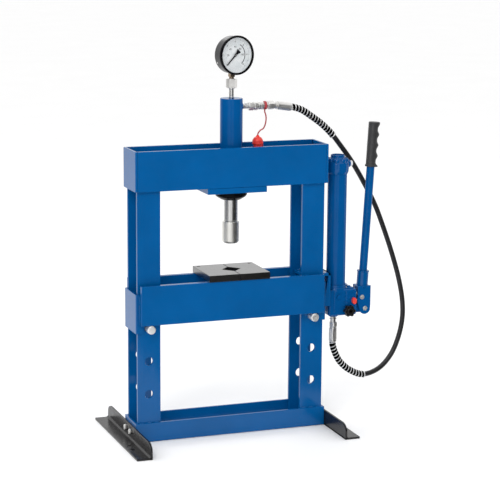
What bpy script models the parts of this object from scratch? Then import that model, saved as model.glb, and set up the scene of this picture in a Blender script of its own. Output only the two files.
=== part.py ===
"""Bench-type hydraulic shop press: welded frame, pinned bed, spring-return cylinder with a gauge,
and a hand pump joined to the cylinder by a hose. Metres, +Z up, front towards -Y."""

from math import cos, pi, radians, sin

import bmesh
import bpy
from mathutils import Matrix, Vector

# --- clearances -----------------------------------------------------------------------------
GAP = 0.0003  # between pieces that touch
SLIDE = 0.0005  # between the bed's brackets and the uprights they slide on
RUNNING = 0.0004  # round a pin or a rod in its hole
ROUND = 32  # sides of a large turned piece
SMALL_ROUND = 20  # sides of a small one

# --- frame ----------------------------------------------------------------------------------
BAR_WIDTH = 0.060
BAR_THICK = 0.008
BAR_OUTER_X = 0.249  # outer edge of each upright from the middle
BAR_OUTER_Y = 0.043  # front face of the front bars, back face of the rear bars
BAR_BOTTOM = 0.002
BAR_BELOW_HEAD_TOP = 0.013
END_THICK = 0.006  # end plates of the head and of the base
HEAD_THICK = 0.008
HEAD_BOTTOM = 0.6385
HEAD_HEIGHT = 0.100
BASE_THICK = 0.006
BASE_BOTTOM = 0.0015
BASE_HEIGHT = 0.0485
EDGE = 0.0008  # chamfer on cut plate edges

# --- feet -----------------------------------------------------------------------------------
FOOT_LENGTH = 0.381
FOOT_LEG = 0.040
FOOT_THICK = 0.005
FOOT_FILLET = 0.004
FOOT_CORNER_Y = 0.030  # rounded top corners of the upright leg
FOOT_CORNER_Z = 0.019
FOOT_HOLES_Y = (-0.076, -0.108)
FOOT_HOLE_SHARE = 0.6  # of the way across the lower leg
FOOT_HOLE_RADIUS = 0.0050
FOOT_BOLT_SPACING = 0.041
FOOT_BOLT_Z = 0.0245
BOLT_RADIUS = 0.004
BOLT_HEAD = 0.0053
BOLT_ACROSS = 0.013
BOLT_GRIP_INSIDE = 0.004  # thread showing inside the base

# --- bed ------------------------------------------------------------------------------------
PIN_DIAMETER = 0.021
HOLE_PITCH = 0.085
LOWEST_HOLE = 0.1235
HOLE_ROWS = 3
PIN_ROW = 2  # the row, counted from 0, that holds the bed
PIN_PROUD = 0.003
BED_THICK = 0.015
BED_HEIGHT = 0.100
BED_INSET = 0.010  # how far the plates' ends lie inside the brackets' outer faces
BRACKET_THICK = 0.005
BRACKET_FLANGE = 0.0205
BRACKET_HEIGHT = 0.100
BRACKET_DROP = 0.0228  # brackets hang this far below the plates
BED_LIFT = 0.010

# --- press plates ---------------------------------------------------------------------------
PLATES_X = 0.013
PLATE_WIDTH = 0.0805
PLATE_DEPTH = 0.134
PLATE_THICK = 0.017
PLATE_SPLIT = 0.0006
NOTCH_DEPTH = 0.0245
NOTCH_HALF = 0.027
PLATE_HOLE_RADIUS = 0.004
PLATE_HOLE_IN = 0.012  # hole's centre from the plate's outer side and from its back

# --- cylinder -------------------------------------------------------------------------------
RAM_X = 0.011
CYLINDER_PLATE_HALF = 0.0785
CYLINDER_PLATE_THICK = 0.0145
BARREL_RADIUS = 0.0285
BARREL_ABOVE_HEAD = 0.1185
BORE_RADIUS = 0.0240
BARREL_CROWN = 0.012
RING_RADIUS = 0.0405
RING_HEIGHT = 0.0215
RING_FLOOR = 0.0096
RAM_RADIUS = 0.018
NOSE_RADIUS = 0.0218
NOSE_HEIGHT = 0.056
NOSE_ROUND = 0.004
NOSE_BELOW_RING = 0.056  # ram showing between the ring and the nose
SPIGOT_RADIUS = 0.012
SPIGOT_LENGTH = 0.015
PISTON_HEIGHT = 0.025
PISTON_SIDE_GAP = 0.0005
SPRING_LENGTH = 0.123
SPRING_WIRE = 0.0014  # radius of the wire
SPRING_RADIUS = 0.0220
SPRING_TURNS = 5
SPRING_STEPS = 20
SPRING_SIDES = 6

# --- port, coupler and dust cap -------------------------------------------------------------
PORT_DROP = 0.0208  # port's axis below the barrel's top
PORT_RADIUS = 0.0040
NIPPLE_RADIUS = 0.0072
NIPPLE_LENGTH = 0.0157
NIPPLE_SPIGOT = 0.0035
COUPLER_HEX = 0.0216
COUPLER_HEX_LENGTH = 0.0240
COLLAR_RADIUS = 0.0105
COLLAR_LENGTH = 0.0155
NECK_RADIUS = 0.0076
NECK_LENGTH = 0.0117
STRAP_RING_OUTER = 0.0108
STRAP_RING_LENGTH = 0.0092
STRAP_RADIUS = 0.0017
CAP_ASIDE = 0.0182  # cap's axis to the left of the strap ring
CAP_RADIUS = 0.0142
CAP_HEIGHT = 0.029
CAP_OVER_HEAD = 0.0227  # cap's top above the head
CAP_WALL = 0.003

# --- hose and its ends ----------------------------------------------------------------------
HOSE_RADIUS = 0.0070
GUARD_RADIUS = 0.0086
UPPER_GUARD_LENGTH = 0.150
LOWER_GUARD_LENGTH = 0.150
END_SQUARE = 0.14
END_NUT_ACROSS = 0.0210
END_NUT_LENGTH = 0.0205
END_NECK_RADIUS = 0.0080
END_NECK_LENGTH = 0.0058
FERRULE_RADIUS = 0.0112
FERRULE_LENGTH = 0.0354
TAIL_BEND = 8  # degrees that the upper ferrule droops from its nut
TAIL_ROOT = 0.002  # the tail's start inside the nut
LOWER_NECK_RADIUS = 0.0078
LOWER_NECK_LENGTH = 0.0150
LOWER_FERRULE_LENGTH = 0.0500

# --- gauge ----------------------------------------------------------------------------------
ADAPTER_PIPE_RADIUS = 0.0066
ADAPTER_PIPE_LENGTH = 0.0252
ADAPTER_HEX = 0.0255
ADAPTER_HEX_LENGTH = 0.0235
STEM_SIDE = 0.0130
STEM_LENGTH = 0.030
DIAL_HEIGHT = 0.0595  # dial's centre above the adapter
GAUGE_TURN = 13  # degrees that the dial faces away from straight ahead
CASE_RADIUS = 0.0465
CASE_BACK = 0.010
CASE_FRONT = -0.020
CASE_WALL = 0.002
BEZEL_RADIUS = 0.0490
BEZEL_LENGTH = 0.0045
BEZEL_LIP = 0.0040
BEZEL_BORE = 0.0435
LENS_THICK = 0.002
DIAL_RADIUS = 0.0435
DIAL_THICK = 0.001
DIAL_Y = -0.0150
NEEDLE_LENGTH = 0.0345
NEEDLE_TAIL = 0.0140
NEEDLE_HUB = 0.0034
NEEDLE_SHAFT = 0.0013
NEEDLE_ZERO = 225  # degrees, counter-clockwise from the dial's right
BOURDON_RADIUS = 0.026
BOURDON_TUBE = 0.0028

# --- hand pump ------------------------------------------------------------------------------
TUBE_FROM_BAR = 0.053  # reservoir tube's axis to the right upright
TUBE_RADIUS = 0.025
TUBE_WALL = 0.0025
TUBE_BOTTOM = 0.356
TUBE_LENGTH = 0.304
BODY_LEFT = 0.028  # body's left face from the tube's axis
BODY_RIGHT = 0.050
BODY_HALF_DEPTH = 0.026
BODY_BOTTOM = 0.283
BODY_TOP = 0.352
BODY_EDGE = 0.004
NECK_RING_RADIUS = 0.0278
NECK_RING_TOP = 0.364
OUTLET_OFFSET = -0.0052  # from the tube's axis, like the three offsets below
OUTLET_BOSS_RADIUS = 0.0135
OUTLET_BOSS_DROP = 0.0055
FULCRUM_OFFSET = 0.0776
FULCRUM_Z = 0.2962
PLUNGER_PIN_X = -0.0089  # from the fulcrum
PLUNGER_PIN_Z = 0.0304
LUG_RADIUS = 0.0110
LUG_HALF = 0.0110
LINK_PIN_RADIUS = 0.0040
PLUNGER_RADIUS = 0.0070
PLUNGER_BORE = 0.0074
PLUNGER_LENGTH = 0.060
GLAND_RADIUS = 0.0150
GLAND_PROUD = 0.0045
EYE_RADIUS = 0.0090
EYE_HALF = 0.0075
SLOT_UP = 0.0020
SLOT_DOWN = 0.0050
CHEEK_INNER = 0.0120
CHEEK_THICK = 0.0050
CHEEK_LEFT = 0.0211
CHEEK_RIGHT = 0.0118
CHEEK_ROUND = 0.0160
BRIDGE_LOW = 0.0500
BRIDGE_HIGH = 0.0600
LEVER_TILT = 3.2
LEVER_OFFSET = -0.0054
SOCKET_RADIUS = 0.0150
SOCKET_TOP = 0.0985
SOCKET_RIM = 0.0015
SOCKET_RIM_HEIGHT = 0.003
LEVER_RADIUS = 0.0105
LEVER_START = 0.064
LEVER_LENGTH = 0.415
GRIP_START = 0.3725
GRIP_LENGTH = 0.1155
GRIP_RADIUS = 0.0132
GRIP_CROWN = 0.002
GRIP_GROOVES = 4
GRIP_BUMP = 0.0032
GRIP_VALLEY = 0.3  # depth of the hollows as a share of the bumps
GRIP_FLANGE = 0.0024
GRIP_RINGS = 21
CAP_SKIRT_RADIUS = 0.0275
CAP_BASE_DROP = 0.006
CAP_SHOULDER = 0.023
CAP_NECK = 0.008
CAP_CROWN_RADIUS = 0.0206
RESERVOIR_CAP_HEIGHT = 0.049
PLUG_Z = 0.6787
PLUG_BOSS_END = 0.0335
PLUG_BOSS_RADIUS = 0.0100
PLUG_RADIUS = 0.0075
PLUG_LENGTH = 0.0065
PLUG_STEM_RADIUS = 0.0040
PLUG_STEM_LENGTH = 0.0120
KNOB_OFFSET = 0.0245
KNOB_Z = 0.2973
KNOB_RADIUS = 0.0140
KNOB_LOBES = 6
KNOB_LOBE = 0.0016
KNOB_THICK = 0.016
KNOB_STAND_OFF = 0.0045
SPINDLE_RADIUS = 0.0045
SPINDLE_DEPTH = 0.014
RELIEF_OFFSET = 0.0405
RELIEF_Z = 0.3215
RELIEF_RADIUS = 0.0062
RELIEF_LENGTH = 0.0085

# --- pump bracket ---------------------------------------------------------------------------
BRACKET_CLEAR = 0.002  # bed bracket to pump bracket when the bed is lifted
TONGUE_THICK = 0.008
TONGUE_IN = 0.050  # how far the tongue reaches in between the upright's bars
HANG_THICK = 0.0074
HANG_DROP = 0.0800
GUSSET_THICK = 0.005
GUSSET_CLEAR = 0.0015

# --- sizes that follow from those above -----------------------------------------------------
end_outer_x = BAR_OUTER_X + GAP + END_THICK
head_outer_y = BAR_OUTER_Y + GAP + HEAD_THICK
head_top = HEAD_BOTTOM + HEAD_HEIGHT
pin_x = BAR_OUTER_X - BAR_WIDTH / 2
pin_z = LOWEST_HOLE + PIN_ROW * HOLE_PITCH
bed_bottom = pin_z + PIN_DIAMETER / 2 + GAP
bed_top = bed_bottom + BED_HEIGHT
bracket_inner_y = BAR_OUTER_Y + SLIDE
bracket_outer_y = bracket_inner_y + BRACKET_THICK
bracket_outer_x = BAR_OUTER_X + SLIDE + BRACKET_THICK
bracket_bottom = bed_bottom - BRACKET_DROP
bed_inner_y = bracket_outer_y + GAP
bed_outer_y = bed_inner_y + BED_THICK
bed_half = bracket_outer_x - BED_INSET
plate_bottom = bed_top + GAP
plate_top = plate_bottom + PLATE_THICK
cylinder_plate_top = HEAD_BOTTOM - GAP
cylinder_plate_bottom = cylinder_plate_top - CYLINDER_PLATE_THICK
ring_top = cylinder_plate_bottom - GAP
ring_bottom = ring_top - RING_HEIGHT
ring_floor = ring_bottom + RING_FLOOR
barrel_top = head_top + BARREL_ABOVE_HEAD
nose_top = ring_bottom - NOSE_BELOW_RING
nose_bottom = nose_top - NOSE_HEIGHT
piston_bottom = ring_floor + SPRING_LENGTH + 2 * GAP
port_z = barrel_top - PORT_DROP
nipple_start = RAM_X + BARREL_RADIUS + GAP
coupler_start = nipple_start + NIPPLE_LENGTH + GAP
collar_start = coupler_start + COUPLER_HEX_LENGTH
neck_start = collar_start + COLLAR_LENGTH
hose_end_start = neck_start + NECK_LENGTH + GAP
strap_ring_x = neck_start + GAP + STRAP_RING_LENGTH / 2
cap_x = strap_ring_x - CAP_ASIDE
cap_top = head_top + CAP_OVER_HEAD
tail_x = hose_end_start + END_NUT_LENGTH - TAIL_ROOT
tail_length = TAIL_ROOT + END_NECK_LENGTH + FERRULE_LENGTH
tail_way = (cos(radians(TAIL_BEND)), -sin(radians(TAIL_BEND)))
hose_start_x = tail_x + (tail_length + GAP) * tail_way[0]
hose_start_z = port_z + (tail_length + GAP) * tail_way[1]
adapter_top = barrel_top + GAP + ADAPTER_PIPE_LENGTH + ADAPTER_HEX_LENGTH
dial_z = adapter_top + DIAL_HEIGHT
tube_x = BAR_OUTER_X + TUBE_FROM_BAR
outlet_x = tube_x + OUTLET_OFFSET
fulcrum_x = tube_x + FULCRUM_OFFSET
knob_x = tube_x + KNOB_OFFSET
relief_x = tube_x + RELIEF_OFFSET
body_left = tube_x - BODY_LEFT
body_right = tube_x + BODY_RIGHT
tongue_bottom = bracket_bottom + BRACKET_HEIGHT + BED_LIFT + BRACKET_CLEAR
outlet_bottom = BODY_BOTTOM - OUTLET_BOSS_DROP
lower_end_bottom = outlet_bottom - GAP - LOWER_NECK_LENGTH - LOWER_FERRULE_LENGTH
plunger_z = FULCRUM_Z + PLUNGER_PIN_Z
tube_top = TUBE_BOTTOM + TUBE_LENGTH

# The hose hangs in a long loop from the cylinder's port down behind the handle to the pump. The upper
# points are shares of the way to the reservoir tube's axis, a depth, and a drop from the hose's start.
# The lower ones are given from the tube's axis and the pump's outlet.
HOSE_UPPER = (
    (0.0000, 0.000, 0.0000),
    (0.0751, 0.000, -0.0015),
    (0.2449, 0.002, -0.0091),
    (0.4591, 0.004, -0.0272),
    (0.6777, 0.007, -0.0478),
    (0.9023, 0.011, -0.0752),
    (1.0932, 0.015, -0.1049),
    (1.3666, 0.021, -0.1505),
    (1.6837, 0.028, -0.2149),
    (1.9159, 0.031, -0.2701),
)
HOSE_LOWER = (
    (0.1450, 0.031, 0.2928),
    (0.1730, 0.031, 0.2178),
    (0.1950, 0.030, 0.1458),
    (0.2060, 0.028, 0.0868),
    (0.2060, 0.025, 0.0398),
    (0.1940, 0.021, -0.0102),
    (0.1700, 0.016, -0.0572),
    (0.1330, 0.011, -0.0902),
    (0.0870, 0.007, -0.1012),
    (0.0450, 0.004, -0.0842),
    (0.0140, 0.002, -0.0552),
    (OUTLET_OFFSET, 0.000, -0.0120),
    (OUTLET_OFFSET, 0.000, -GAP),
)
hose_reach = tube_x - hose_start_x
HOSE_ROUTE = tuple((hose_start_x + share * hose_reach, y, hose_start_z + z) for share, y, z in HOSE_UPPER)
HOSE_ROUTE += tuple((tube_x + x, y, lower_end_bottom + z) for x, y, z in HOSE_LOWER)


def clear_scene():
    for item in list(bpy.data.objects):
        bpy.data.objects.remove(item)


def material(name, colour, roughness, metallic=0.0):
    made = bpy.data.materials.new(name)
    made.use_nodes = True
    shader = made.node_tree.nodes["Principled BSDF"]
    shader.inputs["Base Color"].default_value = (*colour, 1.0)
    shader.inputs["Roughness"].default_value = roughness
    shader.inputs["Metallic"].default_value = metallic
    return made


# --- shapes ---------------------------------------------------------------------------------


def placed(axis, u, v, along):
    """A point of an outline (u, v), moved along the axis that the outline is extruded or turned on."""
    return {"X": (along, u, v), "Y": (u, along, v), "Z": (u, v, along)}[axis]


def face_out(shape):
    bmesh.ops.recalc_face_normals(shape, faces=shape.faces)
    if shape.calc_volume(signed=True) < 0:
        bmesh.ops.reverse_faces(shape, faces=shape.faces)


def prism(outline, axis, low, high):
    """The outline, extruded from low to high along the axis. Outlines are YZ for X, XZ for Y, XY for Z."""
    shape = bmesh.new()
    corners = [shape.verts.new(placed(axis, u, v, low)) for u, v in outline]
    face = shape.faces.new(corners)
    grown = bmesh.ops.extrude_face_region(shape, geom=[face])["geom"]
    moved = [item for item in grown if isinstance(item, bmesh.types.BMVert)]
    bmesh.ops.translate(shape, verts=moved, vec=Vector(placed(axis, 0, 0, high - low)))
    face_out(shape)
    return shape


def block(low, high):
    (x0, y0, z0), (x1, y1, z1) = low, high
    return prism([(x0, y0), (x1, y0), (x1, y1), (x0, y1)], "Z", z0, z1)


def turned(profile, axis="Z", closed=False, sides=ROUND):
    """The profile's (radius, height) points turned about the axis. A closed profile makes a ring."""
    shape = bmesh.new()
    points = [shape.verts.new((radius, 0, height)) for radius, height in profile]
    edges = [shape.edges.new(pair) for pair in zip(points, points[1:])]
    if closed:
        edges.append(shape.edges.new((points[-1], points[0])))
    bmesh.ops.spin(
        shape, geom=points + edges, cent=(0, 0, 0), axis=(0, 0, 1), angle=2 * pi, steps=sides,
        use_merge=True,
    )
    bmesh.ops.remove_doubles(shape, verts=shape.verts, dist=1e-6)
    bmesh.ops.dissolve_degenerate(shape, edges=shape.edges, dist=1e-6)
    on_axis = [edge for edge in shape.edges if not edge.link_faces]
    bmesh.ops.delete(shape, geom=on_axis, context="EDGES")
    for vert in shape.verts:
        vert.co = placed(axis, vert.co.x, vert.co.y, vert.co.z)
    face_out(shape)
    return shape


def rod(radius, low, high, axis="Z", sides=SMALL_ROUND):
    return turned([(0, low), (radius, low), (radius, high), (0, high)], axis, sides=sides)


def arc(centre, radius, start, end, steps):
    """Points of an arc in degrees, both ends included."""
    angles = [radians(start + (end - start) * i / steps) for i in range(steps + 1)]
    return [(centre[0] + radius * cos(a), centre[1] + radius * sin(a)) for a in angles]


def hexagon(across, centre=(0, 0), start=0):
    return arc(centre, across / 2 / cos(pi / 6), start, start + 300, 5)


def moved(shape, offset):
    bmesh.ops.translate(shape, verts=shape.verts, vec=Vector(offset))
    return shape


def together(shapes):
    """Several shapes that don't touch, as one."""
    whole = bmesh.new()
    for shape in shapes:
        mesh = bpy.data.meshes.new("piece")
        shape.to_mesh(mesh)
        shape.free()
        whole.from_mesh(mesh)
        bpy.data.meshes.remove(mesh)
    return whole


# --- objects --------------------------------------------------------------------------------


def part(name, shape, surface, parent, smooth=True, bevel=0.0):
    """An object from a bmesh, with an optional one-step chamfer along its sharp edges."""
    mesh = bpy.data.meshes.new(name)
    shape.to_mesh(mesh)
    shape.free()
    made = bpy.data.objects.new(name, mesh)
    bpy.context.scene.collection.objects.link(made)
    made.parent = parent
    if surface:
        mesh.materials.append(surface)
    if smooth:
        mesh.shade_smooth()
        mesh.set_sharp_from_angle(angle=radians(30))
    if bevel:
        chamfer = made.modifiers.new("edge_chamfer", "BEVEL")
        chamfer.width = bevel
        chamfer.segments = 1
        chamfer.limit_method = "ANGLE"
        chamfer.angle_limit = radians(40)
    return made


def helper(name, shape, parent):
    made = part(name, shape, None, parent, smooth=False)
    made.hide_render = True
    made.display_type = "WIRE"
    return made


def boolean(target, shape, operation, label, parent=None):
    """Adds a Boolean to the target; its tool stands where the target does, or on another empty."""
    tool = helper(f"{target.name}_{label}", shape, parent or target.parent)
    step = target.modifiers.new(label, "BOOLEAN")
    step.operation = operation
    step.solver = "EXACT"
    step.object = tool


def cut(target, shape, label, parent=None):
    boolean(target, shape, "DIFFERENCE", label, parent)


def join(target, shape, label, parent=None):
    boolean(target, shape, "UNION", label, parent)


def empty(name, location, parent=None):
    made = bpy.data.objects.new(name, None)
    made.location = location
    made.parent = parent
    bpy.context.scene.collection.objects.link(made)
    return made


def at(made, location):
    made.location = location
    return made


# --- frame ----------------------------------------------------------------------------------


def make_head(root, paint):
    for side, sign in (("front", -1), ("rear", 1)):
        inner, outer = sorted((sign * (BAR_OUTER_Y + GAP), sign * head_outer_y))
        shape = block((-BAR_OUTER_X, inner, HEAD_BOTTOM), (BAR_OUTER_X, outer, head_top))
        part(f"head_{side}_plate", shape, paint, root, bevel=EDGE)
    for side, sign in (("left", -1), ("right", 1)):
        low, high = sorted((sign * (BAR_OUTER_X + GAP), sign * end_outer_x))
        shape = block((low, -head_outer_y, HEAD_BOTTOM), (high, head_outer_y, head_top))
        part(f"head_{side}_plate", shape, paint, root, bevel=EDGE)


def make_uprights(root, paint):
    hole_radius = PIN_DIAMETER / 2 + RUNNING
    for side, x_sign in (("left", -1), ("right", 1)):
        low_x, high_x = sorted((x_sign * BAR_OUTER_X, x_sign * (BAR_OUTER_X - BAR_WIDTH)))
        for end, y_sign in (("front", -1), ("rear", 1)):
            low_y, high_y = sorted((y_sign * BAR_OUTER_Y, y_sign * (BAR_OUTER_Y - BAR_THICK)))
            top = head_top - BAR_BELOW_HEAD_TOP
            shape = block((low_x, low_y, BAR_BOTTOM), (high_x, high_y, top))
            bar = part(f"upright_{side}_{end}", shape, paint, root)
            drills = [
                moved(
                    rod(hole_radius, low_y - BAR_THICK, high_y + BAR_THICK, "Y", ROUND),
                    (x_sign * pin_x, 0, LOWEST_HOLE + row * HOLE_PITCH),
                )
                for row in range(HOLE_ROWS)
            ]
            cut(bar, together(drills), "pin_holes")


def make_base(root, paint):
    outer_y = BAR_OUTER_Y + GAP + BASE_THICK
    top = BASE_BOTTOM + BASE_HEIGHT
    shape = block((-end_outer_x, -outer_y, BASE_BOTTOM), (end_outer_x, outer_y, top))
    base = part("base_frame", shape, paint, root)
    inside_x = BAR_OUTER_X + GAP
    inside_y = BAR_OUTER_Y + GAP
    hollow = block((-inside_x, -inside_y, -0.01), (inside_x, inside_y, top + 0.01))
    cut(base, hollow, "hollow")
    drills = []
    for sign in (-1, 1):
        for y in foot_bolt_ys():
            low, high = sorted((sign * (inside_x - 0.01), sign * (end_outer_x + 0.01)))
            drills.append(moved(rod(BOLT_RADIUS + GAP, low, high, "X"), (0, y, FOOT_BOLT_Z)))
    cut(base, together(drills), "bolt_holes")


def foot_bolt_ys():
    return (-FOOT_BOLT_SPACING / 2, FOOT_BOLT_SPACING / 2)


def foot_section(sign):
    """An angle iron's section in XZ, with its inner corner rounded."""
    inner = end_outer_x + GAP
    outer = inner + FOOT_LEG
    leg = inner + FOOT_THICK
    centre = (leg + FOOT_FILLET, FOOT_THICK + FOOT_FILLET)
    points = [(inner, 0), (outer, 0), (outer, FOOT_THICK)]
    points += arc(centre, FOOT_FILLET, 270, 180, 4)
    points += [(leg, FOOT_LEG), (inner, FOOT_LEG)]
    return [(sign * x, z) for x, z in points]


def foot_corner_cutter(sign, end):
    """What rounds a top corner of the upright leg: outside a quarter ellipse."""
    y0 = FOOT_LENGTH / 2 - FOOT_CORNER_Y
    z0 = FOOT_LEG - FOOT_CORNER_Z
    over = 0.001
    back = 0.004
    curve = [
        (y0 + FOOT_CORNER_Y * sin(radians(a)), z0 + FOOT_CORNER_Z * cos(radians(a)))
        for a in range(15, 76, 15)
    ]
    clear = 0.01
    outline = [(y0 - back, FOOT_LEG + over)] + curve
    outline += [(FOOT_LENGTH / 2 + over, z0 - back), (FOOT_LENGTH / 2 + clear, z0 - back)]
    outline += [(FOOT_LENGTH / 2 + clear, FOOT_LEG + clear), (y0 - back, FOOT_LEG + clear)]
    inner = end_outer_x
    low, high = sorted((sign * (inner - clear), sign * (inner + FOOT_LEG + clear)))
    return prism([(end * y, z) for y, z in outline], "X", low, high)


def make_feet(root, black, zinc):
    for side, sign in (("left", -1), ("right", 1)):
        shape = prism(foot_section(sign), "Y", -FOOT_LENGTH / 2, FOOT_LENGTH / 2)
        foot = part(f"foot_{side}", shape, black, root)
        for end, label in ((-1, "front"), (1, "rear")):
            cut(foot, foot_corner_cutter(sign, end), f"{label}_corner")
        hole_x = sign * (end_outer_x + GAP + FOOT_THICK + (FOOT_LEG - FOOT_THICK) * FOOT_HOLE_SHARE)
        drills = [
            moved(rod(FOOT_HOLE_RADIUS, -0.01, FOOT_THICK + 0.01), (hole_x, y, 0))
            for y in FOOT_HOLES_Y
        ]
        low, high = sorted((sign * (end_outer_x - 0.002), sign * (end_outer_x + FOOT_LEG / 3)))
        for y in foot_bolt_ys():
            drills.append(moved(rod(BOLT_RADIUS + GAP, low, high, "X"), (0, y, FOOT_BOLT_Z)))
        cut(foot, together(drills), "holes")
        for end, y in zip(("front", "rear"), foot_bolt_ys()):
            make_foot_bolt(f"foot_bolt_{side}_{end}", sign, y, zinc, root)


def make_foot_bolt(name, sign, y, zinc, root):
    """Shank through the foot and the base's end plate, with a hexagon head on the foot's side."""
    seat = end_outer_x + GAP + FOOT_THICK + GAP
    tip = BAR_OUTER_X + GAP - BOLT_GRIP_INSIDE
    head = prism(hexagon(BOLT_ACROSS, start=30), "X", *sorted((sign * seat, sign * (seat + BOLT_HEAD))))
    bolt = part(name, moved(head, (0, y, FOOT_BOLT_Z)), zinc, root)
    low, high = sorted((sign * tip, sign * (seat + BOLT_HEAD / 2)))
    join(bolt, moved(rod(BOLT_RADIUS, low, high, "X"), (0, y, FOOT_BOLT_Z)), "shank")


def make_pump_bracket(root, paint):
    """A tongue welded between the right upright's bars, with a plate that hangs down beside the pump."""
    half = BAR_OUTER_Y - BAR_THICK - GAP
    right = body_left - GAP
    hang_left = right - HANG_THICK
    top = tongue_bottom + TONGUE_THICK
    low = top - HANG_DROP - TONGUE_THICK
    outline = [
        (BAR_OUTER_X - TONGUE_IN, tongue_bottom), (hang_left, tongue_bottom), (hang_left, low),
        (right, low), (right, top), (BAR_OUTER_X - TONGUE_IN, top),
    ]
    bracket = part("pump_bracket", prism(outline, "Y", -half, half), paint, root)
    gusset_left = bracket_outer_x + GUSSET_CLEAR
    middle = hang_left + HANG_THICK / 2
    side = [
        (hang_left, tongue_bottom + TONGUE_THICK / 2), (gusset_left, low + 0.008), (gusset_left, low),
        (middle, low), (middle, tongue_bottom + TONGUE_THICK / 2),
    ]
    for sign, label in ((-1, "front_gusset"), (1, "rear_gusset")):
        y0, y1 = sorted((sign * half, sign * (half - GUSSET_THICK)))
        join(bracket, prism(side, "Y", y0, y1), label)


# --- bed ------------------------------------------------------------------------------------


def make_bed(root, paint):
    for side, sign in (("front", -1), ("rear", 1)):
        low, high = sorted((sign * bed_inner_y, sign * bed_outer_y))
        shape = block((-bed_half, low, bed_bottom), (bed_half, high, bed_top))
        part(f"bed_{side}_plate", shape, paint, root, bevel=EDGE)
    for side, sign in (("left", -1), ("right", 1)):
        outer, inner, reach = bracket_outer_x, BAR_OUTER_X + SLIDE, bracket_outer_x - BRACKET_FLANGE
        outline = [
            (outer, -bracket_outer_y), (outer, bracket_outer_y), (reach, bracket_outer_y),
            (reach, bracket_inner_y), (inner, bracket_inner_y), (inner, -bracket_inner_y),
            (reach, -bracket_inner_y), (reach, -bracket_outer_y),
        ]
        top = bracket_bottom + BRACKET_HEIGHT
        shape = prism([(sign * x, y) for x, y in outline], "Z", bracket_bottom, top)
        part(f"bed_{side}_bracket", shape, paint, root)


def make_bed_pins(root, steel):
    half = bed_outer_y + PIN_PROUD
    radius = PIN_DIAMETER / 2
    chamfer = 0.0015
    profile = [
        (0, -half), (radius - chamfer, -half), (radius, chamfer - half),
        (radius, half - chamfer), (radius - chamfer, half), (0, half),
    ]
    for side, sign in (("left", -1), ("right", 1)):
        pin = part(f"bed_pin_{side}", turned(profile, "Y", sides=ROUND), steel, root)
        at(pin, (sign * pin_x, 0, pin_z))


def make_press_plates(root, black_steel):
    """Two plates side by side on the bed; their notches meet in a diamond under the ram."""
    half_split = PLATE_SPLIT / 2
    for side, sign in (("left", -1), ("right", 1)):
        outline = [
            (half_split, -PLATE_DEPTH / 2), (half_split + PLATE_WIDTH, -PLATE_DEPTH / 2),
            (half_split + PLATE_WIDTH, PLATE_DEPTH / 2), (half_split, PLATE_DEPTH / 2),
            (half_split, NOTCH_HALF), (half_split + NOTCH_DEPTH, 0), (half_split, -NOTCH_HALF),
        ]
        shape = prism([(sign * x, y) for x, y in outline], "Z", plate_bottom, plate_top)
        plate = part(f"press_plate_{side}", shape, black_steel, root)
        hole_x = sign * (half_split + PLATE_WIDTH - PLATE_HOLE_IN)
        drill = rod(PLATE_HOLE_RADIUS, plate_bottom - 0.01, plate_top + 0.01)
        drill = moved(drill, (hole_x, PLATE_DEPTH / 2 - PLATE_HOLE_IN, 0))
        plate.location.x = PLATES_X
        cut(plate, moved(drill, (PLATES_X, 0, 0)), "locating_hole")


# --- cylinder -------------------------------------------------------------------------------


def make_cylinder_plate(root, paint):
    shape = block(
        (-CYLINDER_PLATE_HALF, -head_outer_y, cylinder_plate_bottom),
        (CYLINDER_PLATE_HALF, head_outer_y, cylinder_plate_top),
    )
    plate = at(part("cylinder_plate", shape, paint, root), (RAM_X, 0, 0))
    drill = rod(BARREL_RADIUS + GAP, cylinder_plate_bottom - 0.01, cylinder_plate_top + 0.01, sides=ROUND)
    cut(plate, moved(drill, (RAM_X, 0, 0)), "barrel_hole")


def make_barrel(root, paint):
    low = ring_floor + GAP
    edge = 0.003
    profile = [
        (0, low), (BARREL_RADIUS, low), (BARREL_RADIUS, barrel_top - edge),
        (BARREL_RADIUS - edge, barrel_top), (0, barrel_top),
    ]
    barrel = at(part("cylinder_barrel", turned(profile), paint, root), (RAM_X, 0, 0))
    bore = rod(BORE_RADIUS, low - 0.01, barrel_top - BARREL_CROWN, sides=ROUND)
    cut(barrel, moved(bore, (RAM_X, 0, 0)), "bore")
    drill = rod(PORT_RADIUS, BORE_RADIUS - 0.004, BARREL_RADIUS + 0.004, "X")
    cut(barrel, moved(drill, (RAM_X, 0, port_z)), "port")


def make_lock_ring(root, black):
    bore = RAM_RADIUS + RUNNING
    seat = BARREL_RADIUS + GAP
    straight = ring_top - RING_HEIGHT * 0.45
    profile = [
        (bore, ring_bottom), (RAM_RADIUS + 0.007, ring_bottom), (RING_RADIUS - 0.003, straight - 0.004),
        (RING_RADIUS, straight), (RING_RADIUS, ring_top), (seat, ring_top), (seat, ring_floor),
        (bore, ring_floor),
    ]
    at(part("lock_ring", turned(profile, closed=True), black, root), (RAM_X, 0, 0))


def make_ram(root, steel):
    body_low = nose_top + GAP
    spigot_low = body_low - SPIGOT_LENGTH
    piston_radius = BORE_RADIUS - PISTON_SIDE_GAP
    piston_top = piston_bottom + PISTON_HEIGHT
    profile = [
        (0, spigot_low), (SPIGOT_RADIUS, spigot_low), (SPIGOT_RADIUS, body_low), (RAM_RADIUS, body_low),
        (RAM_RADIUS, piston_bottom), (piston_radius, piston_bottom), (piston_radius, piston_top),
        (0, piston_top),
    ]
    at(part("ram", turned(profile), steel, root), (RAM_X, 0, 0))


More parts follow.
